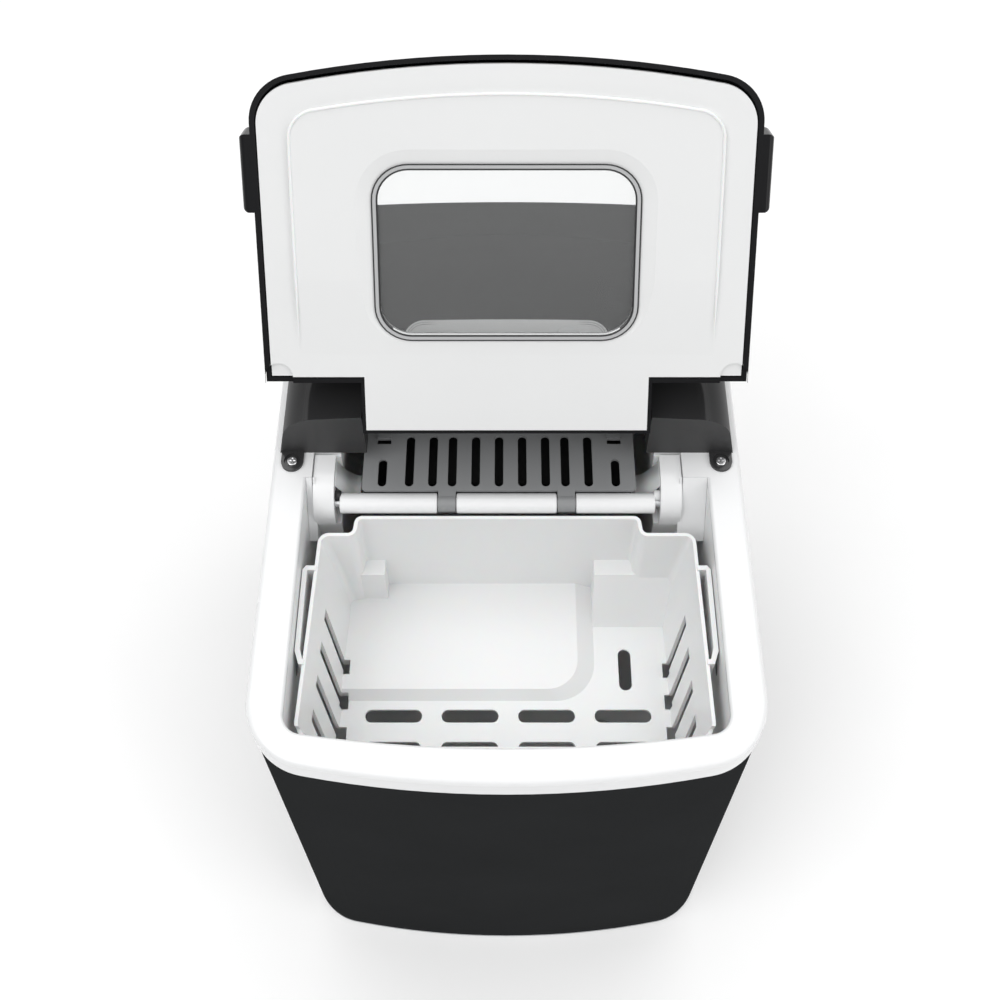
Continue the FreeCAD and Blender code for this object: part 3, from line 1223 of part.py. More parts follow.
def compressor():
    z0 = COMPRESSOR_Z
    x, y = COMPRESSOR_X, COMPRESSOR_Y
    can = rod(COMPRESSOR_R - 4, V(x, y, z0), V(x, y, z0 + COMPRESSOR_H))
    rims = edges_near(can, lambda p: abs(p.z - z0) < 0.01 or abs(p.z - z0 - COMPRESSOR_H) < 0.01)
    can = can.makeFillet(17.0, rims)
    seam_z = z0 + COMPRESSOR_H * 0.46
    seam = rod(COMPRESSOR_R - 2.4, V(x, y, seam_z), V(x, y, seam_z + 4))
    plate = soft_box(x - 40, x + 40, y - 40, y + 40, z0 - 3, z0, 8.0)
    skirt = rod(24, V(x, y, z0 - 1), V(x, y, z0 + 6))
    can = join([can, seam, plate, skirt])
    for dx, dy in mount_offsets():
        can = can.cut(rod(4.0, V(x + dx, y + dy, z0 - 6), V(x + dx, y + dy, z0 + 3)))
    box_x = x + COMPRESSOR_R - 8
    terminal = box(box_x, box_x + 14, y - 12, y + 12, z0 + 30, z0 + 46)
    stubs = [rod(STUB_R, V(sx, sy, STUB_TOP - 20), V(sx, sy, STUB_TOP))
             for sx, sy in ((SUCTION_X, STUB_Y), (DISCHARGE_X, STUB_Y), (COMPRESSOR_X, HOT_GAS_Y))]
    return join([can, terminal] + stubs)


def mount_offsets():
    return [(dx, dy) for dy in (-MOUNT_AT, MOUNT_AT) for dx in (-MOUNT_AT, MOUNT_AT)]


def compressor_mounts():
    mounts = []
    for dx, dy in mount_offsets():
        x = COMPRESSOR_X + dx
        y = COMPRESSOR_Y + dy
        low = rod(6.5, V(x, y, PAN_TOP), V(x, y, COMPRESSOR_Z - 3))
        neck = rod(3.9, V(x, y, COMPRESSOR_Z - 3), V(x, y, COMPRESSOR_Z))
        high = rod(6.0, V(x, y, COMPRESSOR_Z), V(x, y, COMPRESSOR_Z + 2.5))
        bore = rod(2.2, V(x, y, PAN_TOP - 1), V(x, y, COMPRESSOR_Z + 3))
        mounts.append(join([low, neck, high]).cut(bore))
    return mounts


def compressor_bolts():
    bolts = []
    for dx, dy in mount_offsets():
        x = COMPRESSOR_X + dx
        y = COMPRESSOR_Y + dy
        shank = rod(2.1, V(x, y, PAN_TOP), V(x, y, COMPRESSOR_Z + 3))
        head = rod(4.2, V(x, y, COMPRESSOR_Z + 2.5), V(x, y, COMPRESSOR_Z + 5.5))
        bolts.append(join([shank, head]))
    return bolts


def condenser():
    x0 = FAN_X - FAN_R + 2
    x1 = FAN_X + FAN_R - 2
    z0 = FAN_Z - FAN_R + 2
    z1 = FAN_Z + FAN_R - 2
    y0 = CONDENSER_Y
    y1 = CONDENSER_Y + CONDENSER_T
    solids = []
    count = 22
    for i in range(count):
        x = x0 + 3 + i * (x1 - x0 - 6.6) / (count - 1)
        solids.append(box(x, x + 0.6, y0, y1, z0, z1))
    rows = 6
    step = (z1 - z0 - 14) / (rows - 1)
    for i in range(rows):
        z = z0 + 7 + i * step
        solids.append(rod(COIL_R, V(x0 - 3, COIL_Y, z), V(x1 + 3, COIL_Y, z)))
    for i in range(rows - 1):
        z = z0 + 7 + (i + 0.5) * step
        x = x1 + 3 if i % 2 == 0 else x0 - 3
        bend = Part.makeTorus(step / 2, COIL_R, V(x, COIL_Y, z), Y_AXIS)
        xs = (x, x + 20) if i % 2 == 0 else (x - 20, x)
        side = box(xs[0], xs[1], y0, y1, z - step, z + step)
        solids.append(bend.common(side))
    for x in (x0, x1 - 1.0):
        solids.append(box(x, x + 1.0, y0 - 1, y1 + 1, PAN_TOP, z1 + 2))
    return join(solids)


def fan_shroud():
    y0 = FAN_Y - 8
    y1 = CONDENSER_Y - 1
    half = FAN_R + 1.2
    frame = box(FAN_X - half, FAN_X + half, y0, y1, PAN_TOP, FAN_Z + half)
    hole = rod(FAN_R - 1.5, V(FAN_X, y0 - 1, FAN_Z), V(FAN_X, y1 + 1, FAN_Z))
    back = box(FAN_X - half + 1.6, FAN_X + half - 1.6, y0 + 1.6, y1 + 1, PAN_TOP - 1, FAN_Z + half - 1.6)
    sleeve = ring(FAN_R, FAN_R - 1.5, V(FAN_X, y0, FAN_Z), V(FAN_X, y0 + 12, FAN_Z))
    shroud = frame.cut(hole).cut(back)
    return join([shroud, sleeve.common(frame)])


def fan_bracket():
    y0 = FAN_Y - 24
    y1 = FAN_Y - 8
    arms = []
    plate = ring(FAN_MOTOR_R + 4, FAN_MOTOR_R + 0.1, V(FAN_X, y0, FAN_Z), V(FAN_X, y0 + 2, FAN_Z))
    for i in range(3):
        arm = box(FAN_X - 3, FAN_X + 3, y0, y0 + 2, FAN_Z + FAN_MOTOR_R + 2, FAN_Z + FAN_R)
        leg = box(FAN_X - 3, FAN_X + 3, y0, y1, FAN_Z + FAN_R - 2, FAN_Z + FAN_R)
        limb = join([arm, leg])
        limb.rotate(V(FAN_X, 0, FAN_Z), Y_AXIS, 60 + i * 120)
        arms.append(limb)
    return join([plate] + arms)


def fan_motor():
    y0 = FAN_Y - 30
    can = rod(FAN_MOTOR_R, V(FAN_X, y0, FAN_Z), V(FAN_X, y0 + 18, FAN_Z))
    can = can.makeFillet(1.5, edges_near(can, lambda p: abs(p.y - y0) < 0.01))
    shaft = rod(FAN_SHAFT_R, V(FAN_X, y0 + 17, FAN_Z), V(FAN_X, y0 + 30, FAN_Z))
    return join([can, shaft])


def blade_section(half, rise, radius):
    """A slanted strip, at that radius from the hub's axis."""
    corners = [(-half, -rise), (half, rise), (half, rise + 1.2), (-half, 1.2 - rise), (-half, -rise)]
    return Part.makePolygon([V(x, y, radius) for x, y in corners])


def fan_blade():
    y0 = FAN_Y - 4
    hub = rod(10.0, V(FAN_X, y0 - 4, FAN_Z), V(FAN_X, y0 + 6, FAN_Z))
    hub = hub.makeFillet(1.5, edges_near(hub, lambda p: p.y > y0 + 5.9))
    blades = []
    for i in range(7):
        r0, r1 = 9.0, FAN_R - 4.0
        blade = Part.makeLoft([blade_section(5, 3.2, r0), blade_section(9, 2.8, r1)], True, True)
        blade.rotate(V(0, 0, 0), Y_AXIS, i * 360.0 / 7)
        blade.translate(V(FAN_X, y0 + 1, FAN_Z))
        blades.append(blade)
    whole = join([hub] + blades)
    bore = rod(FAN_SHAFT_R + FAN_CLEAR, V(FAN_X, y0 - 5, FAN_Z), V(FAN_X, y0 + 4.6, FAN_Z))
    return whole.cut(bore)


def filter_drier():
    z0 = DRIER_Z
    z1 = z0 + DRIER_L
    body = rod(DRIER_R, V(DRIER_X, DRIER_Y, z0), V(DRIER_X, DRIER_Y, z1))
    body = body.makeFillet(5.0, edges_near(body, lambda p: abs(p.z - z0) < 0.01 or abs(p.z - z1) < 0.01))
    low = rod(PIPE_R, V(DRIER_X, DRIER_Y, z0 - 6), V(DRIER_X, DRIER_Y, z0 + 2))
    high = rod(PIPE_R, V(DRIER_X, DRIER_Y, z1 - 2), V(DRIER_X, DRIER_Y, z1 + 6))
    return join([body, low, high])


def suction_pipe():
    x = MECH_X + EVAP_HALF
    z = STUB_TOP + 38
    return pipe([(SUCTION_X, STUB_Y, STUB_TOP), (SUCTION_X, STUB_Y, z), (x, STUB_Y, z), (x, PIPE_BACK, z),
                 (x, PIPE_BACK, EVAP_RUN_Z), (x, EVAP_END_Y, EVAP_RUN_Z)], PIPE_R, 7.0)


def discharge_pipe():
    z = STUB_TOP + 14
    coil_z = FAN_Z + FAN_R - 9
    return pipe([(DISCHARGE_X, STUB_Y, STUB_TOP), (DISCHARGE_X, STUB_Y, z), (DISCHARGE_X, COIL_Y, z),
                 (COIL_X - 15, COIL_Y, z), (COIL_X - 15, COIL_Y, coil_z), (COIL_X, COIL_Y, coil_z)],
                COIL_R, 6.0)


def liquid_pipe():
    coil_z = FAN_Z - FAN_R + 9
    low = PAN_TOP + 8
    return pipe([(COIL_X, COIL_Y, coil_z), (DRIER_X, COIL_Y, coil_z), (DRIER_X, COIL_Y, low),
                 (DRIER_X, DRIER_Y, low), (DRIER_X, DRIER_Y, DRIER_Z - 6)], COIL_R, 3.6)


def capillary_tube():
    x = MECH_X - EVAP_HALF
    z = STUB_TOP + 25
    start_z = DRIER_Z + DRIER_L + 6
    return pipe([(DRIER_X, DRIER_Y, start_z), (DRIER_X, DRIER_Y, z), (DRIER_X, EVAP_END_Y + 8, z),
                 (x, EVAP_END_Y + 8, z), (x, EVAP_END_Y + 8, z + 30), (x, PIPE_BACK, z + 30),
                 (x, PIPE_BACK, EVAP_RUN_Z), (x, EVAP_END_Y, EVAP_RUN_Z)], CAPILLARY_R, 4.0)


def hot_gas_valve():
    x, y = COMPRESSOR_X, HOT_GAS_Y
    body = rod(6.0, V(x, y, VALVE_Z), V(x, y, VALVE_Z + 14))
    coil = soft_box(x - 11, x + 11, y - 9, y + 9, VALVE_Z + 14, VALVE_Z + VALVE_H - 4, 3.0)
    cap = rod(4.0, V(x, y, VALVE_Z + VALVE_H - 4), V(x, y, VALVE_Z + VALVE_H))
    side = rod(PIPE_R, V(x - 12, y, VALVE_Z + 7), V(x, y, VALVE_Z + 7))
    inlet = rod(PIPE_R, V(x, y, STUB_TOP), V(x, y, VALVE_Z))
    return join([body, coil, cap, side, inlet])


def hot_gas_pipe():
    x = -HALF + 15.0
    y = EVAP_END_Y - 6
    z = VALVE_Z + 7
    end = MECH_X - EVAP_HALF - TUBE_R
    return pipe([(COMPRESSOR_X - 12, HOT_GAS_Y, z), (x, HOT_GAS_Y, z), (x, y, z), (x, y, RIM_Z - 18),
                 (x + 9, y, RIM_Z - 18), (x + 9, y, EVAP_RUN_Z), (end, y, EVAP_RUN_Z)], 1.8, 4.0)


def power_board():
    x0, x1, z0, z1 = POWER_BOARD
    face = BOARD_BACK - BOARD_T
    parts = [box(x0, x1, face, BOARD_BACK, z0, z1),
             box(x0 + 6, x0 + 36, face - 17, face, z0 + 8, z0 + 32),
             box(x0 + 42, x0 + 61, face - 15, face, z0 + 8, z0 + 24),
             box(x0 + 66, x0 + 85, face - 15, face, z0 + 8, z0 + 24),
             rod(6.0, V(x0 + 14, face, z0 + 48), V(x0 + 14, face - 16, z0 + 48)),
             rod(4.5, V(x0 + 30, face, z0 + 48), V(x0 + 30, face - 12, z0 + 48)),
             box(x0 + 48, x0 + 60, face - 3, face, z0 + 44, z0 + 56)]
    for i in range(4):
        parts.append(box(x0 + 10 + i * 20, x0 + 22 + i * 20, face - 8, face, z1 - 14, z1 - 6))
    return join(parts)


def power_board_posts():
    x0, x1, z0, z1 = POWER_BOARD
    posts = []
    for x in (x0 + 4, x1 - 4):
        for z in (z0 + 4, z1 - 4):
            posts.append(rod(POST_R, V(x, BOARD_BACK, z), V(x, REAR_INNER, z)))
    return posts


# --- lid, built closed
# each level of the lid's edge: height as a part of the crown, setback of the front, extra corner radius
LID_LEVELS = [(0.0, 0.0, 0.0), (0.26, 3.6, 2.0), (0.52, 9.0, 6.0), (0.75, 17.0, 13.0), (0.92, 28.0, 22.0),
              (1.05, 45.0, 34.0)]


def lid_section(level, front_set, corner_extra, inset):
    edge = COVER_HALF - CROWN_LEAN * level * 0.9 - inset
    z = LID_Z + level
    block = box(-edge, edge, LID_FRONT + front_set + inset, LID_REAR + 30, z, z + 1)
    bow_r = BOW_R - LID_SET - front_set - inset
    bow = Part.makeCylinder(bow_r, 1, V(0, FRONT + BOW_R, z))
    block = round_upright(block.common(bow), LID_CORNER_R + corner_extra - inset, lambda p: p.y < FRONT + 80)
    face = min(block.Faces, key=lambda f: f.CenterOfMass.z)
    return face.OuterWire


def lid_body(inset, rear_gap, tongue_gap):
    """The closed lid's outer form, or its hollow when inset by the wall."""
    sections = [lid_section(part * CROWN_H, front, corner, inset) for part, front, corner in LID_LEVELS]
    dome = Part.makeLoft(sections, True, False)
    main = dome.common(box(-HALF, HALF, FRONT, LID_REAR - rear_gap, LID_Z - 1, AXIS_Z + 20))
    main = main.common(crowned(inset, FRONT, LID_REAR + 5, LID_Z))
    half = TONGUE_W / 2 - tongue_gap
    tongue = box(-half, half, LID_REAR - 30, AXIS_Y + TONGUE_BACK - tongue_gap, LID_Z, AXIS_Z + 20)
    tongue = tongue.common(crowned(inset, FRONT, REAR, LID_Z))
    return join([main, tongue])


def window_prism(grow, z0, z1):
    y1 = LID_REAR - WINDOW_FROM + grow
    y0 = y1 - WINDOW_L - 2 * grow
    half = WINDOW_W / 2 + grow
    return soft_box(-half, half, y0, y1, z0, z1, WINDOW_R + grow)


def funnel(grow, z0):
    """Sloping walls from the window up to the wider hole in the lid's top."""
    low = window_prism(grow, z0, z0 + 1)
    high = window_prism(grow + 13.0, RIM_Z + CROWN_H + 4, RIM_Z + CROWN_H + 5)
    wires = [min(s.Faces, key=lambda f: f.CenterOfMass.z).OuterWire for s in (low, high)]
    return Part.makeLoft(wires, True, True)


def ear_relief():
    """Shallow pockets in the lid's underside that clear the cover's screw ears when it is closed."""
    reliefs = []
    for side in (-1, 1):
        x = side * EAR_X
        reach = EAR_R + EAR_CLEAR
        top = RIM_Z + EAR_H + 0.35
        reliefs.append(rod(reach, V(x, EAR_Y, LID_Z - 1), V(x, EAR_Y, top)))
        reliefs.append(box(x - reach, x + reach, EAR_Y, LID_REAR + 1, LID_Z - 1, top))
    return Part.makeCompound(reliefs)


def lid_shell():
    outer = lid_body(0, 0, 0)
    hollow = lid_body(LID_T, LID_T, TONGUE_T)
    drop = hollow.copy()
    drop.translate(V(0, 0, -3))
    skirt = box(-HALF, HALF, FRONT, REAR, LID_Z - 5, LID_Z + 3.1)
    shell = outer.cut(hollow).cut(drop.common(skirt))
    seat_z = LID_Z + PANEL_T
    wall = funnel(LID_T, seat_z).common(outer)
    shell = join([shell, wall]).cut(funnel(0, seat_z - 0.01))
    tabs = []
    for side in (-1, 1):
        x_out = side * (COVER_HALF + TAB_OUT)
        xs = sorted((side * (COVER_HALF - 3.0), x_out))
        y1 = LID_REAR - TAB_FROM
        tab = box(xs[0], xs[1], y1 - TAB_LEN, y1, LID_Z, LID_Z + TAB_H)
        corners = edges_near(tab, lambda p: abs(p.x - x_out) < 0.01)
        tabs.append(tab.makeFillet(2.8, corners).cut(hollow))
    shell = join([shell] + tabs)
    for side in (-1, 1):
        x = side * (TONGUE_W / 2 - LID_T)
        boss = rod(BUSH_R + 2, V(x - side * BUSH_SEAT, AXIS_Y, AXIS_Z), V(x + side * 0.5, AXIS_Y, AXIS_Z))
        shell = join([shell, boss.common(outer)])
    bore = rod(BUSH_R, V(-TONGUE_W, AXIS_Y, AXIS_Z), V(TONGUE_W, AXIS_Y, AXIS_Z))
    ends = bore.cut(box(-TONGUE_W / 2 + 12, TONGUE_W / 2 - 12, FRONT, REAR, RIM_Z, AXIS_Z + 20))
    return shell.cut(ends).cut(ear_relief())


def hinge_bush(side):
    x0 = side * (TONGUE_W / 2)
    x1 = side * (TONGUE_W / 2 - LID_T - BUSH_SEAT)
    return ring(BUSH_R, HINGE_R + HINGE_CLEAR, V(x0, AXIS_Y, AXIS_Z), V(x1, AXIS_Y, AXIS_Z))


def hinge_pin(side):
    x0 = side * (TONGUE_W / 2 - LID_T - BUSH_SEAT + 1)
    x1 = side * (TONGUE_W / 2 + PIN_SEAT - 0.5)
    return rod(HINGE_R, V(x0, AXIS_Y, AXIS_Z), V(x1, AXIS_Y, AXIS_Z))


def lid_inner_panel():
    inset = PANEL_SET
    section = lid_section(0, 1.0, 0, inset)
    plate = Part.Face(section).extrude(V(0, 0, PANEL_T))
    plate = plate.common(box(-HALF, HALF, FRONT, LID_REAR - inset, LID_Z - 1, LID_Z + 9))
    edge = TONGUE_T + TONGUE_ROOM
    half = TONGUE_W / 2 - edge
    tongue = box(-half, half, LID_REAR - 20, AXIS_Y + TONGUE_BACK - edge, LID_Z, LID_Z + PANEL_T)
    pad = body_prism(RIM_W + PAD_SET, LID_Z - PAD_T - 5, LID_Z + 0.5)
    pad = pad.common(box(-HALF, HALF, FRONT, LID_REAR - PAD_END, LID_Z - 9, LID_Z + 9))
    slope = side_solid([(FRONT, LID_Z - PAD_T), (LID_REAR - 50, LID_Z - PAD_T), (LID_REAR - PAD_END, LID_Z),
                        (LID_REAR - PAD_END, LID_Z + 1), (FRONT, LID_Z + 1)], -HALF, HALF)
    panel = join([plate, tongue, pad.common(slope)])
    bevel = window_bevel()
    return panel.cut(bevel).cut(window_prism(0, LID_Z - 9, LID_Z + 9)).cut(ear_relief())


def window_bevel():
    low = window_prism(7.0, LID_Z - PAD_T - 0.01, LID_Z - PAD_T + 1)
    high = window_prism(-0.5, LID_Z + 0.2, LID_Z + 1)
    wires = [min(s.Faces, key=lambda f: f.CenterOfMass.z).OuterWire for s in (low, high)]
    return Part.makeLoft(wires, True, True)


def window_ring():
    z0 = LID_Z - 0.6
    z1 = LID_Z + PANEL_T + PANE_T
    gap = 0.05
    return window_prism(-gap, z0, z1).cut(window_prism(-gap - RING_W, z0 - 1, z1 + 1))


def lid_window():
    z0 = LID_Z + 0.6
    return window_prism(-0.1 - RING_W, z0, z0 + PANE_T)


def build():
    save("outer_shell", outer_shell())
    save("base_pan", base_pan())
    save("feet", *[foot(x, y) for x, y in foot_places()])
    save("top_collar", top_collar())
    save("tub", tub())
    save("tub_insulation", tub_insulation())
    save("rear_cover", rear_cover())
    ear_z = RIM_Z + EAR_FLOOR
    ear_screws = [cross_screw(s * EAR_X, EAR_Y, ear_z, EAR_SCREW_R, 1.1, SCREW_R, 8) for s in (-1, 1)]
    save("cover_screws", *ear_screws)
    save("control_label", control_label())
    save("indicator_lights", *[indicator_light(x) for x in LIGHT_XS])
    save("power_button", power_button())
    save("control_board", control_board())
    save("board_posts", *(board_posts() + power_board_posts()))
    save("rear_panel", rear_panel())
    save("rear_screws", *rear_screws())
    save("cord_gland", cord_gland())
    save("ice_basket", ice_basket())
    save("cheek_left", cheek_left())
    save("cheek_right", cheek_right())
    save("tray_motor", tray_motor())
    save("water_tray", water_tray())
    save("tray_bar", tray_bar())
    save("tray_pins", tray_pin(-1), tray_pin(1))
    save("ice_shovel", ice_shovel())
    save("evaporator", evaporator())
    save("evaporator_carrier", evaporator_carrier())
    save("spout", spout())
    save("ice_sensors", ice_sensor(-1), ice_sensor(1))
    save("drain_fitting", drain_fitting())
    save("drain_plug", drain_plug())
    save("water_pump", water_pump())
    save("pump_hose", pump_hose())
    save("pump_strainer", pump_strainer())
    save("compressor", compressor())
    save("compressor_mounts", *compressor_mounts())
    save("compressor_bolts", *compressor_bolts())
    save("condenser", condenser())
    save("fan_shroud", fan_shroud())
    save("fan_bracket", fan_bracket())
    save("fan_motor", fan_motor())
    save("fan_blade", fan_blade())
    save("filter_drier", filter_drier())
    save("suction_pipe", suction_pipe())
    save("discharge_pipe", discharge_pipe())
    save("liquid_pipe", liquid_pipe())
    save("capillary_tube", capillary_tube())
    save("hot_gas_valve", hot_gas_valve())
    save("hot_gas_pipe", hot_gas_pipe())
    save("power_board", power_board())
    for name, shape in (("lid_shell", lid_shell()), ("lid_inner_panel", lid_inner_panel()),
                        ("window_ring", window_ring()), ("lid_window", lid_window())):
        save(name, swing_open(shape))
    save("hinge_bushes", *[swing_open(hinge_bush(s)) for s in (-1, 1)])
    save("hinge_pins", hinge_pin(-1), hinge_pin(1))


build()
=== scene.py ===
import json
import math

import bmesh
import bpy
from mathutils import Matrix, Vector


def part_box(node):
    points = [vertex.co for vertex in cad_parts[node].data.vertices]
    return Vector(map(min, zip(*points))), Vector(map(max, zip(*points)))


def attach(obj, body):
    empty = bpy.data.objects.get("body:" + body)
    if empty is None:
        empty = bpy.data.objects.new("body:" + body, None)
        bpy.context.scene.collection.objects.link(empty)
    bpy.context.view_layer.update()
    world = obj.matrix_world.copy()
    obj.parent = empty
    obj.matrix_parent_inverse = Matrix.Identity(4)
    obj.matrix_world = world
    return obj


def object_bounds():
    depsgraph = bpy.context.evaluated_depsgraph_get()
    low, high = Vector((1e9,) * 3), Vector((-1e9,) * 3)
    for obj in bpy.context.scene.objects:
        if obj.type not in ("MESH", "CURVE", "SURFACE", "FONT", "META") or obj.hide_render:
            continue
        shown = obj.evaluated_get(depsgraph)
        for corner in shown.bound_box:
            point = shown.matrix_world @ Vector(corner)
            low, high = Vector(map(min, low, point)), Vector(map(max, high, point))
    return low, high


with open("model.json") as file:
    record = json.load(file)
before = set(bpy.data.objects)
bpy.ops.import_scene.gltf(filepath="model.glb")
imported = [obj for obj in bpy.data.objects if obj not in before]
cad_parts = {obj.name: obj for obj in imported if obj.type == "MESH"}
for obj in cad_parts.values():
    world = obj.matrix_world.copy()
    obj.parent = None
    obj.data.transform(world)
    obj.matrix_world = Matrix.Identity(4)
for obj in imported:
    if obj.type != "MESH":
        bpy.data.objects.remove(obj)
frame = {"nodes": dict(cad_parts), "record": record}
cad_low, cad_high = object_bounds()
nodes = frame["nodes"]

# The front faces -Y and +Z is up. Places are in metres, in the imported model's own frame.
MM = 0.001
RIM_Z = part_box("top_collar")[1].z
BODY_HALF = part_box("top_collar")[1].x
BODY_FRONT = cad_low.y

# --- camera: how far it stands ahead of the machine's front and above its rim, and how it is framed
CAMERA_AHEAD = 0.1731
CAMERA_ABOVE = 0.5867
CAMERA_PITCH = 52.234
CAMERA_LENS = 49.77
CAMERA_SENSOR = 36.0
CAMERA_SHIFT_X = -0.0066
CAMERA_SHIFT_Y = -0.2548

# --- stage: the floor, the sky's brightness from the horizon (0) up, and the lamps
FLOOR_REACH = 6.0
FLOOR_TONE = 0.86
FLOOR_ROUGH = 0.6
FLOOR_GLOW = 0.16
SKY_FULL = 0.75
SKY_LOW = 0.1
SKY_HIGH = 0.88
LAMPS = (
    # name, place, target, width and length, power
    ("key", (-0.9, -0.7, 1.9), (0, 0, 0.2), (1.2, 1.2), 11),
    ("fill", (1.4, -0.9, 1.0), (0, 0, 0.2), (1.0, 1.4), 7),
    ("top", (0.1, 0.6, 2.2), (0, 0, 0.3), (1.6, 1.0), 9),
)

# --- materials: what all of them share
MOTTLE_SCALE = 14.0
GRAIN_DEPTH = 0.1 * MM
THROUGH_DEPTH = 2 * MM
LEAST_ROUGH = 0.02

# The rear cover's gloss: how far up a face looks, from 0 to 1, and how rough it is there
DECK_DULL = (0.85, 0.55)
DECK_GLOSSY = (0.97, 0.16)

LOOKS = {
    "shell_paint": dict(color=(0.026, 0.027, 0.028), rough=0.36, spread=0.12, bump=0.12, gleam=0.0),
    "white_abs": dict(color=(0.87, 0.875, 0.88), rough=0.3, bump_scale=700),
    "collar_white": dict(color=(0.82, 0.825, 0.83), rough=0.27, bump_scale=700),
    "white_inner": dict(color=(0.86, 0.865, 0.865), rough=0.36, bump_scale=600, through=0.15),
    "panel_white": dict(color=(0.8, 0.805, 0.805), rough=0.34, bump_scale=600),
    "black_abs": dict(color=(0.012, 0.012, 0.013), rough=0.2, grain=0.03, bump=0.02, gleam=0.22),
    "black_matte": dict(color=(0.02, 0.02, 0.021), rough=0.45, spread=0.1, bump=0.25),
    "smoke_plastic": dict(color=(0.27, 0.275, 0.28), rough=0.36, spread=0.08, bump=0.06),
    # The near-black below is painted shade: the water tray wears it to stand in for the dark seen through
    # the shovel plate's slots.
    "tray_painted_shade": dict(color=(0.022, 0.023, 0.024), rough=0.4, spread=0.1, bump=0.06),
    "grey_plastic": dict(color=(0.5, 0.505, 0.51), rough=0.3, spread=0.06),
    "label": dict(color=(0.86, 0.86, 0.86), rough=0.3, bump=0.02),
    "light_lens": dict(color=(0.35, 0.4, 0.37), rough=0.2, bump=0.02),
    "foam": dict(color=(0.78, 0.76, 0.7), rough=0.9, bump=0.8, bump_scale=500),
    "rubber": dict(color=(0.025, 0.025, 0.025), rough=0.75, bump=0.3),
    "hose": dict(color=(0.75, 0.75, 0.72), rough=0.4, bump=0.1),
    "board_green": dict(color=(0.03, 0.18, 0.09), rough=0.35, bump=0.1),
    "compressor_black": dict(color=(0.015, 0.015, 0.016), rough=0.25, bump=0.1),
    "zinc_steel": dict(color=(0.6, 0.61, 0.62), rough=0.3, metal=1.0, bump=0.1),
    "galvanised": dict(color=(0.5, 0.51, 0.52), rough=0.42, metal=0.9, spread=0.15, bump=0.1),
    "screw_steel": dict(color=(0.72, 0.72, 0.73), rough=0.22, metal=1.0),
    "nickel_copper": dict(color=(0.66, 0.65, 0.63), rough=0.2, metal=1.0),
    "copper": dict(color=(0.62, 0.33, 0.22), rough=0.3, metal=1.0, spread=0.12, bump=0.08),
    "aluminium": dict(color=(0.7, 0.71, 0.72), rough=0.35, metal=1.0, bump=0.1),
}

# Nodes whose look differs from the rest of their slot
OWN_LOOKS = {
    # The rear cover's black is lifted above black_abs's: painted sheen for the grey reflection on its deck.
    "rear_cover": "black_deck_painted_sheen",
    "lid_inner_panel": "panel_white",
    "top_collar": "collar_white",
    # The water tray's near-black is painted shade for the dark inside it.
    "water_tray": "tray_painted_shade",
}

# --- the lid, closed: its rear edge is cut back to clear the rear cover's horns
HORN_SET = 155.2 * MM
HORN_GAP = 1.6 * MM
LID_REAR = BODY_FRONT + HORN_SET - HORN_GAP
LID_Z = RIM_Z + 0.4 * MM
LID_BOW = 500 * MM

# The window in the lid, and the two seals of its ring: name, place outside the window's edge, half-thickness
WINDOW_HALF = 58 * MM
WINDOW_LONG = 81.5 * MM
WINDOW_CORNER = 16 * MM
WINDOW_FROM = 21.3 * MM
SEAL_UNDER = 0.55 * MM
SEALS = (
    ("seal_outer", 0.1 * MM, 0.32 * MM),
    ("seal_inner", -2.1 * MM, 0.4 * MM),
)

# The raised line on the lid's panel
BEAD_INSET = 19.7 * MM
BEAD_CORNER = 12 * MM
BEAD_SLANT = 0.8 * MM
BEAD_FROM = 20 * MM
BEAD_UNDER = 1.45 * MM
BEAD_THICK = 0.75 * MM
BEAD_STEP = 4 * MM
BEAD_SIDE_STEPS = 22
BEAD_TURN_STEPS = 9
BEAD_FRONT_STEPS = 40
BEAD_TAPER = 8
TAPER_TIP = 0.3

# --- the control label's printed borders: name, and distance inside the label's edge
BORDERS = (
    ("label_border_outer", 1.2 * MM),
    ("label_border_inner", 2.4 * MM),
)
BORDER_CORNER = 9 * MM
BORDER_ROUND = 0.98
BORDER_THICK = 0.16 * MM
BORDER_LIFT = 0.02 * MM
CROWN_R = 1100 * MM

# --- between the bearing cheeks: each side's name, the way it lies, and its cheek's inner face
CHEEKS = (
    ("left", -1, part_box("cheek_left")[1].x),
    ("right", 1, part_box("cheek_right")[0].x),
)

# The stop pins, black on the left and white on the right
STOP_SLOTS = {"left": "black_matte", "right": "white_abs"}
STOP_Y = -3.7 * MM
STOP_Z = 282.6 * MM
STOP_SIDES = 24
# from the cheek to the hollow in the pin's end: distance out and radius, in millimetres
STOP_PROFILE = ((0.0, 2.6), (2.2, 2.6), (2.8, 2.3), (3.0, 1.6), (3.0, 1.1), (2.2, 0.9))

# The curved walls beside the freezing fingers
SLOPE_FRONT = -0.5 * MM
SLOPE_BACK = 12.6 * MM
SLOPE_WIDE = 11.5 * MM
SLOPE_TOP = 289.0 * MM
SLOPE_DROP = 17.0 * MM
SLOPE_SKIN = 1.2 * MM
SLOPE_TUCK = 0.4 * MM
SLOPE_CURL = 0.8
SLOPE_STEPS = 14


def link(item):
    bpy.context.scene.collection.objects.link(item)


def put(shader_node, values):
    """Sets a shader node's inputs by name."""
    for name, value in values.items():
        shader_node.inputs[name].default_value = value


def camera():
    data = bpy.data.cameras.new("camera")
    data.sensor_width = CAMERA_SENSOR
    data.lens = CAMERA_LENS
    data.shift_x = CAMERA_SHIFT_X
    data.shift_y = CAMERA_SHIFT_Y
    data.clip_start = 10 * MM
    eye = bpy.data.objects.new("camera", data)
    eye.location = (0, BODY_FRONT - CAMERA_AHEAD, RIM_Z + CAMERA_ABOVE)
    eye.rotation_euler = (math.radians(90 - CAMERA_PITCH), 0, 0)
    link(eye)
    bpy.context.scene.camera = eye


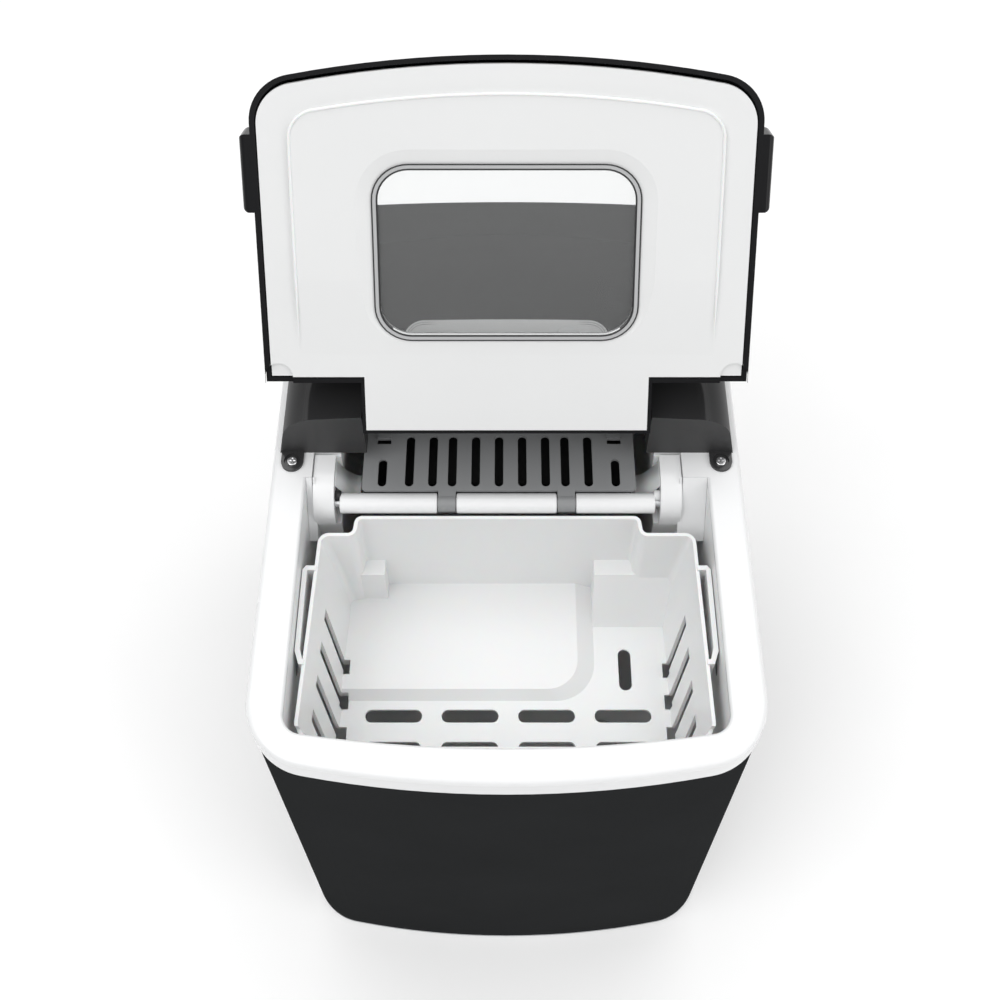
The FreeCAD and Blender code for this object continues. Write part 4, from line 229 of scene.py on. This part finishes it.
# --- stage
def floor():
    mesh = bpy.data.meshes.new("floor")
    work = bmesh.new()
    bmesh.ops.create_grid(work, x_segments=1, y_segments=1, size=FLOOR_REACH)
    work.to_mesh(mesh)
    work.free()
    ground = bpy.data.objects.new("floor", mesh)
    link(ground)
    paper = finish("floor_finish", (FLOOR_TONE, FLOOR_TONE, FLOOR_TONE), FLOOR_ROUGH, grain=0.0)
    put(paper.node_tree.nodes["Principled BSDF"],
        {"Emission Color": (1, 1, 1, 1), "Emission Strength": FLOOR_GLOW})
    mesh.materials.append(paper)


def sky():
    """A white surround, dim at the horizon and bright overhead."""
    world = bpy.data.worlds.new("world")
    world.use_nodes = True
    tree = world.node_tree
    around = tree.nodes.new("ShaderNodeTexCoord")
    split = tree.nodes.new("ShaderNodeSeparateXYZ")
    climb = tree.nodes.new("ShaderNodeMapRange")
    climb.interpolation_type = "SMOOTHSTEP"
    put(climb, {"From Min": 0.0, "From Max": SKY_FULL, "To Min": SKY_LOW, "To Max": SKY_HIGH})
    background = tree.nodes["Background"]
    put(background, {"Color": (1, 1, 1, 1)})
    tree.links.new(around.outputs["Generated"], split.inputs["Vector"])
    tree.links.new(split.outputs["Z"], climb.inputs["Value"])
    tree.links.new(climb.outputs["Result"], background.inputs["Strength"])
    bpy.context.scene.world = world


def lamp(name, place, target, size, power):
    data = bpy.data.lights.new(name, "AREA")
    data.shape = "RECTANGLE"
    data.size, data.size_y = size
    data.energy = power
    bulb = bpy.data.objects.new(name, data)
    bulb.location = place
    bulb.rotation_euler = (Vector(target) - Vector(place)).to_track_quat("-Z", "Y").to_euler()
    link(bulb)


def stage():
    floor()
    sky()
    for row in LAMPS:
        lamp(*row)
    bpy.context.scene.view_settings.view_transform = "Standard"


# --- materials
def finish(name, color, rough, grain=0.02, spread=0.02, metal=0.0, bump=0.05, bump_scale=900.0, gleam=0.5,
           through=0.0):
    """A moulded or painted surface: mottled colour, uneven gloss and a fine raised grain."""
    mat = bpy.data.materials.new(name)
    mat.use_nodes = True
    tree = mat.node_tree
    shader = tree.nodes["Principled BSDF"]
    put(shader, {"Metallic": metal, "Specular IOR Level": gleam, "Subsurface Weight": through,
                 "Subsurface Scale": THROUGH_DEPTH})
    where = tree.nodes.new("ShaderNodeTexCoord")
    broad = tree.nodes.new("ShaderNodeTexNoise")
    put(broad, {"Scale": MOTTLE_SCALE, "Detail": 3.0})
    fine = tree.nodes.new("ShaderNodeTexNoise")
    put(fine, {"Scale": bump_scale, "Detail": 2.0})
    tone = tree.nodes.new("ShaderNodeValToRGB")
    darker, lighter = tone.color_ramp.elements
    darker.color = [c * (1 - spread) for c in color] + [1]
    lighter.color = [min(c * (1 + spread), 1) for c in color] + [1]
    gloss = tree.nodes.new("ShaderNodeMapRange")
    put(gloss, {"To Min": max(rough - grain, LEAST_ROUGH), "To Max": min(rough + grain, 1.0)})
    raised = tree.nodes.new("ShaderNodeBump")
    put(raised, {"Strength": bump, "Distance": GRAIN_DEPTH})
    tree.links.new(where.outputs["Object"], broad.inputs["Vector"])
    tree.links.new(where.outputs["Object"], fine.inputs["Vector"])
    tree.links.new(broad.outputs["Fac"], tone.inputs["Fac"])
    tree.links.new(tone.outputs["Color"], shader.inputs["Base Color"])
    tree.links.new(broad.outputs["Fac"], gloss.inputs["Value"])
    tree.links.new(gloss.outputs["Result"], shader.inputs["Roughness"])
    tree.links.new(fine.outputs["Fac"], raised.inputs["Height"])
    tree.links.new(raised.outputs["Normal"], shader.inputs["Normal"])
    return mat


def pane_finish():
    """The window's clear plastic."""
    mat = finish("clear_pane", (0.95, 0.96, 0.96), 0.02, grain=0.005, spread=0.01, bump=0.0)
    put(mat.node_tree.nodes["Principled BSDF"], {"Transmission Weight": 0.95, "IOR": 1.49})
    return mat


def deck_finish():
    """The rear cover's black, lifted above black_abs's as painted sheen for the grey its glossy deck
    reflects: glossy on its deck, duller on the faces that look forward.
    """
    mat = finish("black_deck_painted_sheen", (0.03, 0.03, 0.031), DECK_GLOSSY[1], bump=0.01)
    tree = mat.node_tree
    facing = tree.nodes.new("ShaderNodeTexCoord")
    split = tree.nodes.new("ShaderNodeSeparateXYZ")
    gloss = tree.nodes["Principled BSDF"].inputs["Roughness"].links[0].from_node
    put(gloss, {"From Min": DECK_DULL[0], "From Max": DECK_GLOSSY[0],
                "To Min": DECK_DULL[1], "To Max": DECK_GLOSSY[1]})
    tree.links.new(facing.outputs["Normal"], split.inputs["Vector"])
    tree.links.new(split.outputs["Z"], gloss.inputs["Value"])
    return mat


def all_finishes():
    made = {name: finish(name, **look) for name, look in LOOKS.items()}
    made["clear_pane"] = pane_finish()
    made["black_deck_painted_sheen"] = deck_finish()
    return made


def dress(piece, look):
    piece.data.materials.clear()
    piece.data.materials.append(finishes[look])


def dress_cad():
    """Gives each CAD node its own finish, or else the one of its material slot."""
    for entry in frame["record"]["subparts"]:
        name = entry["node"]
        dress(nodes[name], OWN_LOOKS.get(name, entry["material_slot"]))


# --- new pieces
def lid_swing():
    """The turn from the closed lid to the open one that the CAD holds."""
    hinge = next(j for j in frame["record"]["behaviour"]["joints"] if j["name"] == "lid_hinge")
    pivot = Vector(hinge["pos_m"])
    turn = Matrix.Rotation(math.radians(hinge["range_deg"][0]), 4, "X")
    return Matrix.Translation(pivot) @ turn @ Matrix.Translation(-pivot)


def add_piece(name, mesh, body, slot):
    """A smooth-shaded mesh that rides on a body and wears its slot's finish."""
    for face in mesh.polygons:
        face.use_smooth = True
    piece = bpy.data.objects.new(name, mesh)
    link(piece)
    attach(piece, body)
    dress(piece, slot)


def add_solid(name, work, body, slot):
    """The same for a shape that bmesh holds, with its faces turned outward."""
    bmesh.ops.recalc_face_normals(work, faces=work.faces)
    mesh = bpy.data.meshes.new(name)
    work.to_mesh(mesh)
    work.free()
    add_piece(name, mesh, body, slot)


def add_tube(name, points, radius, body, slot, closed=False, taper=0):
    """A round bead along points, thinning out over its first and last taper points."""
    curve = bpy.data.curves.new(name, "CURVE")
    curve.dimensions = "3D"
    curve.bevel_depth = radius
    curve.bevel_resolution = 3
    curve.use_fill_caps = True
    line = curve.splines.new("POLY")
    line.points.add(len(points) - 1)
    line.use_cyclic_u = closed
    for i, point in enumerate(points):
        from_end = min(i, len(points) - 1 - i)
        line.points[i].co = (*point, 1)
        line.points[i].radius = min(1.0, (from_end + TAPER_TIP) / taper) if taper else 1.0
    path = bpy.data.objects.new(name + "_path", curve)
    link(path)
    mesh = bpy.data.meshes.new_from_object(path.evaluated_get(bpy.context.evaluated_depsgraph_get()))
    bpy.data.objects.remove(path)
    add_piece(name, mesh, body, slot)


def rounded_loop(x_half, y0, y1, radius, steps):
    """A closed loop of x and y round a rectangle with rounded corners."""
    points = []
    corners = ((x_half - radius, y1 - radius, 0), (-x_half + radius, y1 - radius, 90),
               (-x_half + radius, y0 + radius, 180), (x_half - radius, y0 + radius, 270))
    for cx, cy, start in corners:
        for i in range(steps + 1):
            angle = math.radians(start + 90 * i / steps)
            points.append((cx + radius * math.cos(angle), cy + radius * math.sin(angle)))
    return points


def on_lid(points, z):
    """Points drawn at a height on the closed lid, swung to where the open lid has them."""
    swing = lid_swing()
    return [swing @ Vector((x, y, z)) for x, y in points]


def window_trim():
    """Dark seals on both edges of the window's grey ring."""
    rear = LID_REAR - WINDOW_FROM
    front = rear - WINDOW_LONG
    for name, grow, thick in SEALS:
        loop = rounded_loop(WINDOW_HALF + grow, front - grow, rear + grow, WINDOW_CORNER + grow, steps=10)
        add_tube(name, on_lid(loop, LID_Z - SEAL_UNDER), thick, "lid", "black_matte", closed=True)


def bead_front(x):
    """Where the bead's front line, which follows the lid's bowed front, runs at x."""
    return BODY_FRONT + LID_BOW - math.sqrt((LID_BOW - BEAD_INSET) ** 2 - x ** 2)


def panel_bead():
    """The raised line that runs up both sides of the lid's panel and round its front."""
    edge = BODY_HALF - BEAD_INSET
    reach = edge - BEAD_CORNER
    side = [(edge, LID_REAR - BEAD_FROM - i * BEAD_STEP) for i in range(BEAD_SIDE_STEPS)]
    right = [(x, y) for x, y in side if y > bead_front(edge) + BEAD_CORNER]
    for i in range(1, BEAD_TURN_STEPS):
        angle = math.radians(90 * i / BEAD_TURN_STEPS)
        x = reach + BEAD_CORNER * math.cos(angle)
        y = bead_front(reach) + BEAD_CORNER * (1 - math.sin(angle)) + BEAD_SLANT * math.cos(angle)
        right.append((x, y))
    across = [reach * (1 - 2 * i / BEAD_FRONT_STEPS) for i in range(BEAD_FRONT_STEPS + 1)]
    front = [(x, bead_front(x)) for x in across]
    left = [(-x, y) for x, y in reversed(right)]
    line = on_lid(right + front + left, LID_Z - BEAD_UNDER)
    add_tube("panel_bead", line, BEAD_THICK, "lid", "white_inner", taper=BEAD_TAPER)


def label_borders():
    """A double border round the control label, on its crowned face."""
    low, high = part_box("control_label")
    middle = (low.y + high.y) / 2
    half = (high.x - low.x) / 2
    for name, inset in BORDERS:
        deep = (high.y - low.y) / 2 - inset
        corner = min(deep * BORDER_ROUND, BORDER_CORNER)
        loop = rounded_loop(half - inset, middle - deep, middle + deep, corner, steps=8)
        line = [(x, y, high.z - x * x / (2 * CROWN_R) + BORDER_LIFT) for x, y in loop]
        add_tube(name, line, BORDER_THICK, "housing", "grey_plastic", closed=True)


def stop_pins():
    """Short stubs with hollow ends on the cheeks' inner faces."""
    turns = [2 * math.pi * k / STOP_SIDES for k in range(STOP_SIDES)]
    for hand, side, face in CHEEKS:
        work = bmesh.new()
        rings = []
        for out, radius in STOP_PROFILE:
            x = face - side * out * MM
            r = radius * MM
            places = [(x, STOP_Y + r * math.cos(a), STOP_Z + r * math.sin(a)) for a in turns]
            rings.append([work.verts.new(place) for place in places])
        end = work.verts.new((face - side * STOP_PROFILE[-1][0] * MM, STOP_Y, STOP_Z))
        for k in range(STOP_SIDES):
            beside = (k + 1) % STOP_SIDES
            for first, second in zip(rings, rings[1:]):
                work.faces.new((first[k], first[beside], second[beside], second[k]))
            work.faces.new((rings[-1][k], rings[-1][beside], end))
        work.faces.new(list(reversed(rings[0])))
        add_solid("stop_pin_" + hand, work, "housing", STOP_SLOTS[hand])


def bay_slopes():
    """Curved walls that lead down from the cheeks' inner faces beside the freezing fingers."""
    for hand, side, face in CHEEKS:
        work = bmesh.new()
        rows = []
        edges = ((SLOPE_FRONT, 0), (SLOPE_BACK, 0), (SLOPE_BACK, SLOPE_SKIN), (SLOPE_FRONT, SLOPE_SKIN))
        for y, sunk in edges:
            row = []
            for i in range(SLOPE_STEPS + 1):
                part = i / SLOPE_STEPS
                x = face - side * (SLOPE_WIDE * part - SLOPE_TUCK)
                z = SLOPE_TOP - SLOPE_DROP * math.sin(part * math.pi / 2) ** SLOPE_CURL - sunk
                row.append(work.verts.new((x, y, z)))
            rows.append(row)
        for first, second in zip(rows, rows[1:] + rows[:1]):
            for i in range(SLOPE_STEPS):
                work.faces.new((first[i], first[i + 1], second[i + 1], second[i]))
        for i in (0, SLOPE_STEPS):
            work.faces.new([row[i] for row in rows])
        add_solid("bay_slope_" + hand, work, "housing", "white_inner")


camera()
stage()
finishes = all_finishes()
dress_cad()
window_trim()
panel_bead()
label_borders()
stop_pins()
bay_slopes()
